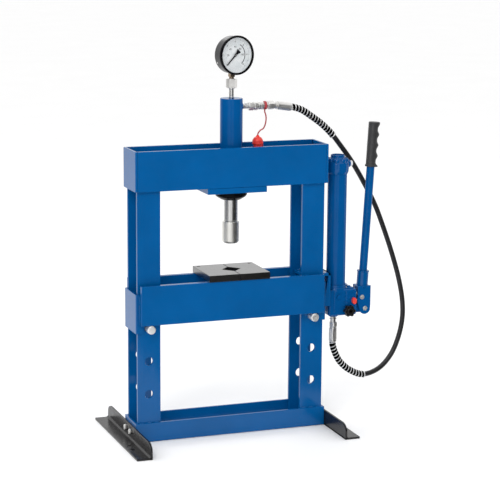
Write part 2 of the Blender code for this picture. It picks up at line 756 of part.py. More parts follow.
def make_ram_nose(root, steel):
    """A cap on the ram's spigot, with a rounded lower edge."""
    edge = [
        (NOSE_RADIUS - NOSE_ROUND + x, nose_bottom + NOSE_ROUND + z)
        for x, z in arc((0, 0), NOSE_ROUND, 270, 360, 3)
    ]
    socket = SPIGOT_RADIUS + GAP
    socket_top = nose_top - SPIGOT_LENGTH - GAP
    profile = [(0, nose_bottom)] + edge
    profile += [(NOSE_RADIUS, nose_top - 0.001), (NOSE_RADIUS - 0.001, nose_top), (socket, nose_top)]
    profile += [(socket, socket_top), (0, socket_top)]
    at(part("ram_nose", turned(profile), steel, root), (RAM_X, 0, 0))


def make_return_spring(root, steel):
    """A coil round the ram, between the lock ring and the piston."""
    low = ring_floor + GAP + SPRING_WIRE
    high = piston_bottom - GAP - SPRING_WIRE
    steps = SPRING_TURNS * SPRING_STEPS
    rings = []
    shape = bmesh.new()
    for i in range(steps + 1):
        angle = 2 * pi * i / SPRING_STEPS
        rise = low + (high - low) * i / steps
        centre = Vector((SPRING_RADIUS * cos(angle), SPRING_RADIUS * sin(angle), rise))
        outward = Vector((cos(angle), sin(angle), 0))
        turn = [2 * pi * k / SPRING_SIDES for k in range(SPRING_SIDES)]
        ring = [centre + SPRING_WIRE * (cos(t) * outward + sin(t) * Vector((0, 0, 1))) for t in turn]
        rings.append([shape.verts.new(point) for point in ring])
    for first, second in zip(rings, rings[1:]):
        for k in range(SPRING_SIDES):
            after = (k + 1) % SPRING_SIDES
            shape.faces.new((first[k], first[after], second[after], second[k]))
    shape.faces.new(rings[0])
    shape.faces.new(rings[-1])
    face_out(shape)
    at(part("return_spring", shape, steel, root), (RAM_X, 0, 0))


# --- port, coupler and dust cap -------------------------------------------------------------


def make_port_nipple(root, zinc):
    tip = PORT_RADIUS - GAP
    end = nipple_start + NIPPLE_LENGTH
    profile = [
        (0, nipple_start - NIPPLE_SPIGOT), (tip, nipple_start - NIPPLE_SPIGOT), (tip, nipple_start),
        (NIPPLE_RADIUS, nipple_start), (NIPPLE_RADIUS, end), (0, end),
    ]
    shape = turned(profile, "X", sides=SMALL_ROUND)
    at(part("port_nipple", shape, zinc, root), (0, 0, port_z))


def make_coupler_socket(root, zinc):
    """Hexagon, round collar and a slimmer neck that the strap's ring sits on."""
    shape = prism(hexagon(COUPLER_HEX, start=30), "X", coupler_start, collar_start + 0.002)
    socket = at(part("coupler_socket", shape, zinc, root), (0, 0, port_z))
    middle = collar_start + COLLAR_LENGTH
    end = middle + NECK_LENGTH
    profile = [
        (0, collar_start), (COLLAR_RADIUS, collar_start), (COLLAR_RADIUS, middle), (NECK_RADIUS, middle),
        (NECK_RADIUS, end), (0, end),
    ]
    join(socket, moved(turned(profile, "X", sides=SMALL_ROUND), (0, 0, port_z)), "collar")


def make_hose_end_upper(root, zinc):
    """Union nut, and a slightly bent tail: a slim neck and the ferrule that is crimped on the hose."""
    shape = prism(hexagon(END_NUT_ACROSS, start=30), "X", hose_end_start, hose_end_start + END_NUT_LENGTH)
    fitting = at(part("hose_end_upper", shape, zinc, root), (0, 0, port_z))
    shoulder = TAIL_ROOT + END_NECK_LENGTH
    edge = 0.001
    profile = [
        (0, 0), (END_NECK_RADIUS, 0), (END_NECK_RADIUS, shoulder), (FERRULE_RADIUS - edge, shoulder),
        (FERRULE_RADIUS, shoulder + edge), (FERRULE_RADIUS, tail_length - edge),
        (FERRULE_RADIUS - edge, tail_length), (0, tail_length),
    ]
    tail = turned(profile, "X", sides=SMALL_ROUND)
    bmesh.ops.rotate(
        tail, verts=tail.verts, cent=(0, 0, 0), matrix=Matrix.Rotation(radians(TAIL_BEND), 3, "Y")
    )
    join(fitting, moved(tail, (tail_x, 0, port_z)), "tail")


def make_hose_end_lower(root, zinc):
    top = outlet_bottom - GAP
    shoulder = top - LOWER_NECK_LENGTH
    profile = [
        (0, lower_end_bottom), (FERRULE_RADIUS - 0.001, lower_end_bottom),
        (FERRULE_RADIUS, lower_end_bottom + 0.001), (FERRULE_RADIUS, shoulder - 0.003),
        (LOWER_NECK_RADIUS, shoulder), (LOWER_NECK_RADIUS, top), (0, top),
    ]
    at(part("hose_end_lower", turned(profile, sides=SMALL_ROUND), zinc, root), (outlet_x, 0, 0))


def make_strap_ring(root, red):
    start = neck_start + GAP
    end = start + STRAP_RING_LENGTH
    inner = NECK_RADIUS + GAP
    profile = [(inner, start), (STRAP_RING_OUTER, start), (STRAP_RING_OUTER, end), (inner, end)]
    shape = turned(profile, "X", closed=True, sides=SMALL_ROUND)
    at(part("strap_ring", shape, red, root), (0, 0, port_z))


def strap_route():
    """The strap hangs from the ring's underside, bows outwards, and ends on the cap's top."""
    x = strap_ring_x
    top = port_z - STRAP_RING_OUTER - GAP
    return (
        (x, 0, top), (x, 0, top - 0.005), (x + 0.0030, 0, top - 0.014), (x + 0.0038, 0, top - 0.025),
        (x + 0.0016, 0, top - 0.0375), (x - 0.0036, 0, top - 0.0475), (cap_x + 0.0068, 0, cap_top + 0.0120),
        (cap_x + 0.0016, 0, cap_top + 0.0062), (cap_x + 0.0003, 0, cap_top + 0.0030),
        (cap_x, 0, cap_top + GAP),
    )


def make_dust_cap(root, red):
    low = cap_top - CAP_HEIGHT
    inner = CAP_RADIUS - CAP_WALL
    edge = 0.003
    profile = [
        (inner, low), (CAP_RADIUS, low), (CAP_RADIUS, cap_top - edge), (CAP_RADIUS - edge, cap_top),
        (0, cap_top), (0, cap_top - CAP_WALL * 2), (inner, cap_top - CAP_WALL * 2),
    ]
    shape = turned(profile, closed=True, sides=24)
    at(part("dust_cap", shape, red, root), (cap_x, 0, 0))


# --- hose -----------------------------------------------------------------------------------


def smooth_route(points, fine=12):
    """A centripetal Catmull-Rom curve through the points, as a dense list."""
    ends = [2 * Vector(points[0]) - Vector(points[1])]
    ends += [Vector(p) for p in points]
    ends.append(2 * Vector(points[-1]) - Vector(points[-2]))
    dense = []
    for a, b, c, d in zip(ends, ends[1:], ends[2:], ends[3:]):
        ta = 0.0
        tb = ta + (b - a).length ** 0.5
        tc = tb + (c - b).length ** 0.5
        td = tc + (d - c).length ** 0.5
        for i in range(fine):
            t = tb + (tc - tb) * i / fine
            ab = a.lerp(b, (t - ta) / (tb - ta))
            bc = b.lerp(c, (t - tb) / (tc - tb))
            cd = c.lerp(d, (t - tc) / (td - tc))
            abc = ab.lerp(bc, (t - ta) / (tc - ta))
            bcd = bc.lerp(cd, (t - tb) / (td - tb))
            dense.append(abc.lerp(bcd, (t - tb) / (tc - tb)))
    dense.append(ends[-2])
    return dense


def lengths_along(dense):
    total = [0.0]
    for a, b in zip(dense, dense[1:]):
        total.append(total[-1] + (b - a).length)
    return total


def point_at(dense, total, distance):
    for i in range(len(total) - 1):
        if total[i + 1] >= distance:
            share = (distance - total[i]) / (total[i + 1] - total[i])
            return dense[i].lerp(dense[i + 1], share)
    return dense[-1]


def tube(name, dense, start, end, radius, spacing, surface, root, resolution=2):
    """A round tube along part of a route, between two distances from its start."""
    total = lengths_along(dense)
    steps = max(2, round((end - start) / spacing))
    stops = [start + (end - start) * i / steps for i in range(steps + 1)]
    square = radius * END_SQUARE  # a short first and last length, so that the ends are cut square
    stops[1:1] = [start + square]
    stops[-1:-1] = [end - square]
    curve = bpy.data.curves.new(name, "CURVE")
    curve.dimensions = "3D"
    curve.bevel_depth = radius
    curve.bevel_resolution = resolution
    curve.use_fill_caps = True
    spline = curve.splines.new("POLY")
    spline.points.add(len(stops) - 1)
    for stop, point in zip(stops, spline.points):
        point.co = (*point_at(dense, total, stop), 1.0)
    curve.materials.append(surface)
    made = bpy.data.objects.new(name, curve)
    bpy.context.scene.collection.objects.link(made)
    made.parent = root
    return made


def make_hose(root, rubber, spring_steel):
    dense = smooth_route(HOSE_ROUTE)
    length = lengths_along(dense)[-1]
    lower = length - LOWER_GUARD_LENGTH
    tube("spring_guard_upper", dense, 0, UPPER_GUARD_LENGTH, GUARD_RADIUS, 0.020, spring_steel, root)
    tube("hose", dense, UPPER_GUARD_LENGTH + GAP, lower - GAP, HOSE_RADIUS, 0.026, rubber, root)
    tube("spring_guard_lower", dense, lower, length, GUARD_RADIUS, 0.016, spring_steel, root)


def make_strap(root, red):
    dense = smooth_route(strap_route())
    length = lengths_along(dense)[-1]
    tube("cap_strap", dense, 0, length, STRAP_RADIUS, 0.004, red, root)


# --- gauge ----------------------------------------------------------------------------------


def make_gauge_adapter(root, zinc):
    low = barrel_top + GAP
    shape = rod(ADAPTER_PIPE_RADIUS, low, low + ADAPTER_PIPE_LENGTH + 0.002)
    adapter = at(part("gauge_adapter", shape, zinc, root), (RAM_X, 0, 0))
    nut = prism(hexagon(ADAPTER_HEX, start=10), "Z", low + ADAPTER_PIPE_LENGTH, adapter_top)
    join(adapter, moved(nut, (RAM_X, 0, 0)), "hexagon")


def make_gauge(root, black, white, glass, brass, dark):
    """Built round the stem's axis, with the dial facing -Y, then turned aside as one."""
    stand = empty("gauge_axis", (RAM_X, 0, 0), root)
    stand.rotation_euler.z = radians(GAUGE_TURN)
    half = STEM_SIDE / 2
    low = adapter_top + GAP
    shape = block((-half, -half, low), (half, half, low + STEM_LENGTH))
    part("gauge_stem", shape, brass, stand, smooth=False)
    make_gauge_case(stand, dark)
    make_gauge_face(stand, black, white, glass)
    make_needle(stand, black)
    make_bourdon_tube(stand, brass)


def make_gauge_case(stand, dark):
    edge = 0.003
    profile = [
        (0, CASE_BACK), (CASE_RADIUS - edge, CASE_BACK), (CASE_RADIUS, CASE_BACK - edge),
        (CASE_RADIUS, CASE_FRONT), (CASE_RADIUS - CASE_WALL, CASE_FRONT),
        (CASE_RADIUS - CASE_WALL, CASE_BACK - CASE_WALL), (0, CASE_BACK - CASE_WALL),
    ]
    case = at(part("gauge_case", turned(profile, "Y"), dark, stand), (0, 0, dial_z))
    half = STEM_SIDE / 2 + GAP
    low = dial_z - CASE_RADIUS
    cut(case, block((-half, -half, low - 0.01), (half, half, low + 0.02)), "stem_hole")


def make_gauge_face(stand, black, white, glass):
    bezel_back = CASE_FRONT - GAP
    bezel_front = bezel_back - BEZEL_LENGTH - BEZEL_LIP
    bore = CASE_RADIUS - CASE_WALL
    profile = [
        (bore, bezel_back), (BEZEL_RADIUS, bezel_back), (BEZEL_RADIUS, bezel_front + 0.002),
        (BEZEL_RADIUS - 0.002, bezel_front), (BEZEL_BORE, bezel_front),
        (BEZEL_BORE, bezel_back - BEZEL_LENGTH), (bore, bezel_back - BEZEL_LENGTH),
    ]
    at(part("gauge_bezel", turned(profile, "Y", closed=True), black, stand), (0, 0, dial_z))
    lens_front = bezel_back - BEZEL_LENGTH + GAP
    lens = rod(bore - GAP, lens_front, lens_front + LENS_THICK, "Y", ROUND)
    at(part("gauge_lens", lens, glass, stand), (0, 0, dial_z))
    hole = NEEDLE_SHAFT + RUNNING
    front = DIAL_Y - DIAL_THICK
    profile = [(hole, DIAL_Y), (DIAL_RADIUS, DIAL_Y), (DIAL_RADIUS, front), (hole, front)]
    at(part("gauge_dial", turned(profile, "Y", closed=True), white, stand), (0, 0, dial_z))


def make_needle(stand, black):
    """Pointer, hub and a short shaft that goes back through the dial."""
    angle = radians(NEEDLE_ZERO)
    front = DIAL_Y - DIAL_THICK - 0.0028
    hub = [
        (0, front), (NEEDLE_HUB, front), (NEEDLE_HUB, front + 0.0022), (NEEDLE_SHAFT, front + 0.0022),
        (NEEDLE_SHAFT, DIAL_Y + 0.004), (0, DIAL_Y + 0.004),
    ]
    needle = at(part("gauge_needle", turned(hub, "Y", sides=16), black, stand), (0, 0, dial_z))
    outline = [(-NEEDLE_TAIL, -0.0022), (0, -0.0014), (NEEDLE_LENGTH, -0.0003), (NEEDLE_LENGTH, 0.0003),
               (0, 0.0014), (-NEEDLE_TAIL, 0.0022)]
    turnedout = [(x * cos(angle) - z * sin(angle), x * sin(angle) + z * cos(angle)) for x, z in outline]
    arrow = prism(turnedout, "Y", front + 0.0006, front + 0.0014)
    join(needle, moved(arrow, (0, 0, dial_z)), "pointer")


def make_bourdon_tube(stand, brass):
    """The curved pressure tube behind the dial, from the stem's top round to its free end."""
    start, end, steps = -92, 195, 18
    middle_y = -0.002
    circle = arc((0, dial_z), BOURDON_RADIUS, start, end, steps)
    tube_points = [Vector((x, middle_y, z)) for x, z in circle]
    tube("bourdon_tube", tube_points, 0, lengths_along(tube_points)[-1], BOURDON_TUBE, 0.007, brass, stand)


# --- hand pump ------------------------------------------------------------------------------


def make_pump_body(root, paint):
    shape = block((body_left, -BODY_HALF_DEPTH, BODY_BOTTOM), (body_right, BODY_HALF_DEPTH, BODY_TOP))
    bmesh.ops.bevel(
        shape, geom=list(shape.edges), offset=BODY_EDGE, segments=2, profile=0.5, affect="EDGES"
    )
    body = part("pump_body", shape, paint, root)
    ring = rod(NECK_RING_RADIUS, BODY_TOP - 0.006, NECK_RING_TOP, sides=ROUND)
    join(body, moved(ring, (tube_x, 0, 0)), "neck_ring")
    boss = rod(OUTLET_BOSS_RADIUS, outlet_bottom, BODY_BOTTOM + 0.006)
    join(body, moved(boss, (outlet_x, 0, 0)), "outlet_boss")
    gland = rod(GLAND_RADIUS, tube_x, body_right + GLAND_PROUD, "X", 24)
    join(body, moved(gland, (0, 0, plunger_z)), "gland")
    join(body, fulcrum_lug(), "fulcrum_lug")
    socket = rod(TUBE_RADIUS + GAP, TUBE_BOTTOM - GAP, NECK_RING_TOP + 0.01, sides=ROUND)
    bore = rod(PLUNGER_BORE, plunger_tip() - 0.003, body_right + 0.02, "X")
    pin = rod(LINK_PIN_RADIUS + RUNNING, -LUG_HALF - 0.01, LUG_HALF + 0.01, "Y")
    spindle = rod(SPINDLE_RADIUS + RUNNING, -BODY_HALF_DEPTH - 0.01, SPINDLE_DEPTH - BODY_HALF_DEPTH, "Y")
    drillings = [
        moved(socket, (tube_x, 0, 0)), moved(bore, (0, 0, plunger_z)),
        moved(pin, (fulcrum_x, 0, FULCRUM_Z)), moved(spindle, (knob_x, 0, KNOB_Z)),
    ]
    cut(body, together(drillings), "drillings")


def plunger_tip():
    return fulcrum_x + PLUNGER_PIN_X - PLUNGER_LENGTH


def fulcrum_lug():
    """An ear on the body's right that carries the handle."""
    start = body_right - 0.006
    outline = [(start, FULCRUM_Z - LUG_RADIUS), (fulcrum_x, FULCRUM_Z - LUG_RADIUS)]
    outline += arc((fulcrum_x, FULCRUM_Z), LUG_RADIUS, -75, 75, 6)
    outline += [(fulcrum_x, FULCRUM_Z + LUG_RADIUS), (start, FULCRUM_Z + LUG_RADIUS)]
    return prism(outline, "Y", -LUG_HALF, LUG_HALF)


def make_reservoir(root, paint):
    inner = TUBE_RADIUS - TUBE_WALL
    profile = [
        (inner, TUBE_BOTTOM), (TUBE_RADIUS, TUBE_BOTTOM), (TUBE_RADIUS, tube_top), (inner, tube_top)
    ]
    at(part("reservoir_tube", turned(profile, closed=True), paint, root), (tube_x, 0, 0))
    base = tube_top - CAP_BASE_DROP
    shoulder = base + CAP_SHOULDER
    top = base + RESERVOIR_CAP_HEIGHT
    seat = TUBE_RADIUS + GAP
    profile = [
        (seat, base), (CAP_SKIRT_RADIUS, base), (CAP_SKIRT_RADIUS, shoulder),
        (CAP_SKIRT_RADIUS - 0.002, shoulder + 0.010), (CAP_CROWN_RADIUS, top - CAP_NECK),
        (CAP_CROWN_RADIUS, top), (CAP_CROWN_RADIUS - 0.004, top), (CAP_CROWN_RADIUS - 0.005, top - 0.004),
        (0, top - 0.004), (0, tube_top + GAP), (seat, tube_top + GAP),
    ]
    cap = at(part("reservoir_cap", turned(profile, closed=True), paint, root), (tube_x, 0, 0))
    boss = rod(PLUG_BOSS_RADIUS, 0.016, PLUG_BOSS_END, "X")
    join(cap, moved(boss, (tube_x, 0, PLUG_Z)), "plug_boss")
    hole_end = PLUG_BOSS_END - PLUG_STEM_LENGTH - 0.002
    hole = rod(PLUG_STEM_RADIUS + RUNNING, hole_end, PLUG_BOSS_END + 0.01, "X")
    cut(cap, moved(hole, (tube_x, 0, PLUG_Z)), "plug_hole")


def make_filler_plug(root, white):
    face = PLUG_BOSS_END + GAP
    profile = [
        (0, face - PLUG_STEM_LENGTH), (PLUG_STEM_RADIUS, face - PLUG_STEM_LENGTH), (PLUG_STEM_RADIUS, face),
        (PLUG_RADIUS, face), (PLUG_RADIUS, face + PLUG_LENGTH - 0.001),
        (PLUG_RADIUS - 0.001, face + PLUG_LENGTH), (0, face + PLUG_LENGTH),
    ]
    at(part("filler_plug", turned(profile, "X", sides=SMALL_ROUND), white, root), (tube_x, 0, PLUG_Z))


def make_plunger(root, steel):
    """A rod in the body's bore, with a slotted eye: the slot takes up the rise and fall of its pin."""
    end = fulcrum_x + PLUNGER_PIN_X
    plunger = part("plunger", rod(PLUNGER_RADIUS, plunger_tip(), end, "X"), steel, root)
    at(plunger, (0, 0, plunger_z))
    reach = EYE_RADIUS + SLOT_DOWN
    eye = [(end + x, plunger_z + SLOT_UP + z) for x, z in arc((0, 0), EYE_RADIUS, 180, 0, 8)]
    eye += [(end + EYE_RADIUS, plunger_z - reach + 0.003), (end + EYE_RADIUS - 0.003, plunger_z - reach),
            (end - EYE_RADIUS + 0.003, plunger_z - reach), (end - EYE_RADIUS, plunger_z - reach + 0.003)]
    join(plunger, prism(eye, "Y", -EYE_HALF, EYE_HALF), "eye")
    width = LINK_PIN_RADIUS + 2 * RUNNING
    slot = [(end + x, plunger_z + SLOT_UP + z) for x, z in arc((0, 0), width, 180, 0, 8)]
    slot += [(end + x, plunger_z - SLOT_DOWN + z) for x, z in arc((0, 0), width, 0, -180, 8)]
    cut(plunger, prism(slot, "Y", -EYE_HALF - 0.01, EYE_HALF + 0.01), "slot")


def make_handle(root, paint, zinc, rubber):
    """Everything that swings, built round the fulcrum's axis."""
    fulcrum = empty("fulcrum_axis", (fulcrum_x, 0, FULCRUM_Z), root)
    lever_axis = empty("lever_axis", (LEVER_OFFSET, 0, 0), fulcrum)
    lever_axis.rotation_euler.y = radians(LEVER_TILT)
    make_yoke(fulcrum, lever_axis, paint)
    make_lever(lever_axis, paint, rubber)
    half = CHEEK_INNER + CHEEK_THICK + 0.0025
    part("fulcrum_pin", rod(LINK_PIN_RADIUS, -half, half, "Y"), zinc, fulcrum)
    pin = part("plunger_pin", rod(LINK_PIN_RADIUS, -half, half, "Y"), zinc, fulcrum)
    at(pin, (PLUNGER_PIN_X, 0, PLUNGER_PIN_Z))


def cheek_outline():
    points = [(x, z) for x, z in arc((0, 0), CHEEK_ROUND, -150, -20, 7)]
    points += [(CHEEK_RIGHT + 0.004, 0.010), (CHEEK_RIGHT + 0.004, BRIDGE_HIGH)]
    points += [(-CHEEK_LEFT, BRIDGE_HIGH), (-CHEEK_LEFT, 0.014)]
    return points


def make_yoke(fulcrum, lever_axis, paint):
    inner, outer = CHEEK_INNER, CHEEK_INNER + CHEEK_THICK
    yoke = part("handle_yoke", prism(cheek_outline(), "Y", -outer, -inner), paint, fulcrum)
    join(yoke, prism(cheek_outline(), "Y", inner, outer), "rear_cheek")
    right = CHEEK_RIGHT + 0.004
    join(yoke, block((-CHEEK_LEFT, -outer, BRIDGE_LOW), (right, outer, BRIDGE_HIGH)), "bridge")
    rim = SOCKET_RADIUS + SOCKET_RIM
    profile = [
        (0, BRIDGE_LOW + 0.004), (SOCKET_RADIUS, BRIDGE_LOW + 0.004),
        (SOCKET_RADIUS, SOCKET_TOP - SOCKET_RIM_HEIGHT), (rim, SOCKET_TOP - SOCKET_RIM_HEIGHT),
        (rim, SOCKET_TOP), (0, SOCKET_TOP),
    ]
    join(yoke, turned(profile, sides=24), "socket", lever_axis)
    bore = rod(LEVER_RADIUS + GAP, LEVER_START - GAP, SOCKET_TOP + 0.01, sides=24)
    cut(yoke, bore, "lever_bore", lever_axis)
    holes = [
        moved(rod(LINK_PIN_RADIUS + GAP, -outer - 0.01, outer + 0.01, "Y"), (x, 0, z))
        for x, z in ((0, 0), (PLUNGER_PIN_X, PLUNGER_PIN_Z))
    ]
    cut(yoke, together(holes), "pin_holes")


def make_lever(lever_axis, paint, rubber):
    top = LEVER_START + LEVER_LENGTH
    lever = rod(LEVER_RADIUS, LEVER_START, top, sides=24)
    part("handle_tube", lever, paint, lever_axis)
    part("handle_grip", grip_shape(top), rubber, lever_axis)


def grip_radius(along, angle):
    """Radius of the grip at a share of its length: a flange below, finger grooves on the outer side."""
    radius = GRIP_RADIUS
    if along < 0.06:
        radius += GRIP_FLANGE
    outward = max(0.0, cos(angle)) ** 2
    wave = 0.5 - 0.5 * cos(2 * pi * GRIP_GROOVES * min(1.0, along / 0.92))
    return radius + GRIP_BUMP * outward * (1 - wave) - GRIP_BUMP * GRIP_VALLEY * outward * wave


def grip_shape(lever_top):
    """A sleeve with a closed top, as rings of points up the lever."""
    sides = 20
    inner = LEVER_RADIUS + GAP
    shape = bmesh.new()

    def ring(height, radius_at):
        angles = [2 * pi * k / sides for k in range(sides)]
        return [shape.verts.new((radius_at(a) * cos(a), radius_at(a) * sin(a), height)) for a in angles]

    rings = [ring(lever_top + GAP, lambda a: inner), ring(GRIP_START, lambda a: inner)]
    for i in range(GRIP_RINGS):
        along = i / (GRIP_RINGS - 1)
        height = GRIP_START + along * (GRIP_LENGTH - GRIP_CROWN)
        rings.append(ring(height, lambda a, share=along: grip_radius(share, a)))
    rings.append(ring(GRIP_START + GRIP_LENGTH, lambda a: GRIP_RADIUS - GRIP_CROWN))
    for first, second in zip(rings, rings[1:]):
        for k in range(sides):
            after = (k + 1) % sides
            shape.faces.new((first[k], first[after], second[after], second[k]))
    shape.faces.new(rings[0])
    shape.faces.new(rings[-1])
    face_out(shape)
    return shape


def make_release_knob(root, black):
    """A lobed knob on its valve spindle."""
    back = -BODY_HALF_DEPTH - KNOB_STAND_OFF
    front = back - KNOB_THICK
    steps = KNOB_LOBES * 6
    outline = []
    for i in range(steps):
        angle = 2 * pi * i / steps
        radius = KNOB_RADIUS + KNOB_LOBE * cos(KNOB_LOBES * angle)
        outline.append((radius * cos(angle), radius * sin(angle)))
    knob = part("release_knob", prism(outline, "Y", front, back), black, root)
    at(knob, (knob_x, 0, KNOB_Z))
    spindle = rod(SPINDLE_RADIUS, back - 0.003, SPINDLE_DEPTH - BODY_HALF_DEPTH - 0.001, "Y")
    join(knob, moved(spindle, (knob_x, 0, KNOB_Z)), "spindle")


def make_relief_cap(root, red):
    face = -BODY_HALF_DEPTH - GAP
    profile = [
        (0, face), (RELIEF_RADIUS, face), (RELIEF_RADIUS, face - RELIEF_LENGTH + 0.0015),
        (RELIEF_RADIUS - 0.0015, face - RELIEF_LENGTH), (0, face - RELIEF_LENGTH),
    ]
    cap = part("relief_valve_cap", turned(profile, "Y", sides=SMALL_ROUND), red, root)
    at(cap, (relief_x, 0, RELIEF_Z))


# --- whole press ----------------------------------------------------------------------------


def centre_on_origin(root):
    """Moves the press so that its box stands centred on the origin. The hose and the strap, which are
    curves, hang free and don't count."""
    bpy.context.view_layer.update()
    graph = bpy.context.evaluated_depsgraph_get()
    xs = []
    for item in bpy.context.scene.objects:
        if item.type == "MESH" and not item.hide_render:
            solid = item.evaluated_get(graph)
            xs += [(solid.matrix_world @ vert.co).x for vert in solid.data.vertices]
    root.location.x = -round((min(xs) + max(xs)) / 2, 4)


def main():
    clear_scene()
    blue = material("blue_paint", (0.004, 0.115, 0.345), 0.35)
    pump_blue = material("pump_paint", (0.004, 0.085, 0.290), 0.30)
    black = material("black_paint", (0.035, 0.033, 0.035), 0.45)
    oxide = material("black_oxide", (0.045, 0.042, 0.042), 0.35, 0.8)
    steel = material("ground_steel", (0.62, 0.61, 0.60), 0.22, 1.0)
    zinc = material("zinc_plate", (0.66, 0.65, 0.62), 0.32, 1.0)
    brass = material("brass", (0.72, 0.52, 0.22), 0.3, 1.0)
    rubber = material("rubber", (0.020, 0.020, 0.021), 0.6)
    red = material("red_plastic", (0.75, 0.035, 0.030), 0.4)
    white = material("white_enamel", (0.85, 0.85, 0.84), 0.4)
    dark = material("gauge_black", (0.030, 0.030, 0.032), 0.35)
    glass = material("clear_lens", (0.90, 0.93, 0.95), 0.05)
    root = empty("press", (0, 0, 0))
    make_head(root, blue)
    make_uprights(root, blue)
    make_base(root, blue)
    make_feet(root, black, zinc)
    make_pump_bracket(root, blue)
    make_bed(root, blue)
    make_bed_pins(root, steel)
    make_press_plates(root, oxide)
    make_cylinder_plate(root, blue)
    make_barrel(root, pump_blue)
    make_lock_ring(root, black)
    make_ram(root, steel)
    make_ram_nose(root, steel)
    make_return_spring(root, steel)
    make_port_nipple(root, zinc)
    make_coupler_socket(root, zinc)
    make_strap_ring(root, red)
    make_strap(root, red)
    make_dust_cap(root, red)
    make_hose_end_upper(root, zinc)
    make_hose_end_lower(root, zinc)
    make_hose(root, rubber, steel)
    make_gauge_adapter(root, zinc)
    make_gauge(root, black, white, glass, brass, dark)
    make_pump_body(root, pump_blue)
    make_reservoir(root, pump_blue)
    make_filler_plug(root, white)
    make_plunger(root, steel)
    make_handle(root, pump_blue, zinc, rubber)
    make_release_knob(root, black)
    make_relief_cap(root, red)
    centre_on_origin(root)


main()
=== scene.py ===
"""Looks for the bench hydraulic press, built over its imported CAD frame. Metres, +Z up, front towards -Y."""

from math import cos, pi, radians, sin

import bmesh
import bpy
from mathutils import Matrix, Vector, noise


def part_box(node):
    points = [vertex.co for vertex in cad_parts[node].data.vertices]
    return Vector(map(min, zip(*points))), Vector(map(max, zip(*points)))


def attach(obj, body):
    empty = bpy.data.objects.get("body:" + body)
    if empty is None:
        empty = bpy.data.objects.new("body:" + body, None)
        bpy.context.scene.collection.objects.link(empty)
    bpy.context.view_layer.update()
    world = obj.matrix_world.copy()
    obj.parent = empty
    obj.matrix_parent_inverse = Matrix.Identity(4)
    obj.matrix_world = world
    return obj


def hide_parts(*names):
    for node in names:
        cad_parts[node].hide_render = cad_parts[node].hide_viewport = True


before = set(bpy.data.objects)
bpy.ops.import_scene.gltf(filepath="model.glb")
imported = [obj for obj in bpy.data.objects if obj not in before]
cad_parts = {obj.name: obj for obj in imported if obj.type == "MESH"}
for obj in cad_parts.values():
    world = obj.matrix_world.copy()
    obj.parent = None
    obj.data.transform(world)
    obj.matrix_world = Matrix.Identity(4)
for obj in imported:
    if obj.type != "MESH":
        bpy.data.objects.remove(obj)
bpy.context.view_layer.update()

FRAME_BODY = "press_frame"
ROUND = 64  # sides of an ordinary turned part
EDGE = 0.0009  # rounding of plate edges
GAP = 0.0003  # clearance between parts that meet


# --- places taken from the CAD frame ---


def middle(node):
    low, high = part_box(node)
    return (low + high) / 2


def span(node, axis):
    low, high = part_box(node)
    return low[axis], high[axis]


RAM_X = middle("ram").x
SHIFT = RAM_X - 0.011  # the CAD frame's own middle, between the uprights
PORT_Z = middle("port_nipple").z
TAIL_BEND = radians(8)
DIAL = middle("gauge_bezel")
DIAL_TURN = radians(13)
TUBE_X = middle("reservoir_tube").x
FULCRUM = middle("fulcrum_pin")
PLUNGER_PIN = middle("plunger_pin")
BARREL_RADIUS = 0.0285
PLATE_BORE = 0.0288  # hole for the barrel in the cylinder plate and in the lock ring

# --- camera ---

CAMERA_AT = (SHIFT - 1.5157, -4.2401, 1.3599)
CAMERA_YAW = 20.43
CAMERA_PITCH = 11.16
CAMERA_ROLL = 0.47
LENS = 130.33


def link_new(name, data):
    """A new object in the scene."""
    made = bpy.data.objects.new(name, data)
    bpy.context.scene.collection.objects.link(made)
    return made


def add_camera():
    yaw, pitch, roll = map(radians, (CAMERA_YAW, CAMERA_PITCH, CAMERA_ROLL))
    forward = Vector((sin(yaw) * cos(pitch), cos(yaw) * cos(pitch), -sin(pitch)))
    right = Vector((cos(yaw), -sin(yaw), 0))
    up = right.cross(forward)
    across = right * cos(roll) + up * sin(roll)
    upward = up * cos(roll) - right * sin(roll)
    data = bpy.data.cameras.new("camera")
    data.lens = LENS
    data.sensor_width = 36
    data.clip_end = 100
    camera = link_new("camera", data)
    turn = Matrix((across, upward, -forward)).transposed()
    camera.matrix_world = Matrix.Translation(CAMERA_AT) @ turn.to_4x4()
    bpy.context.scene.camera = camera


# --- materials ---


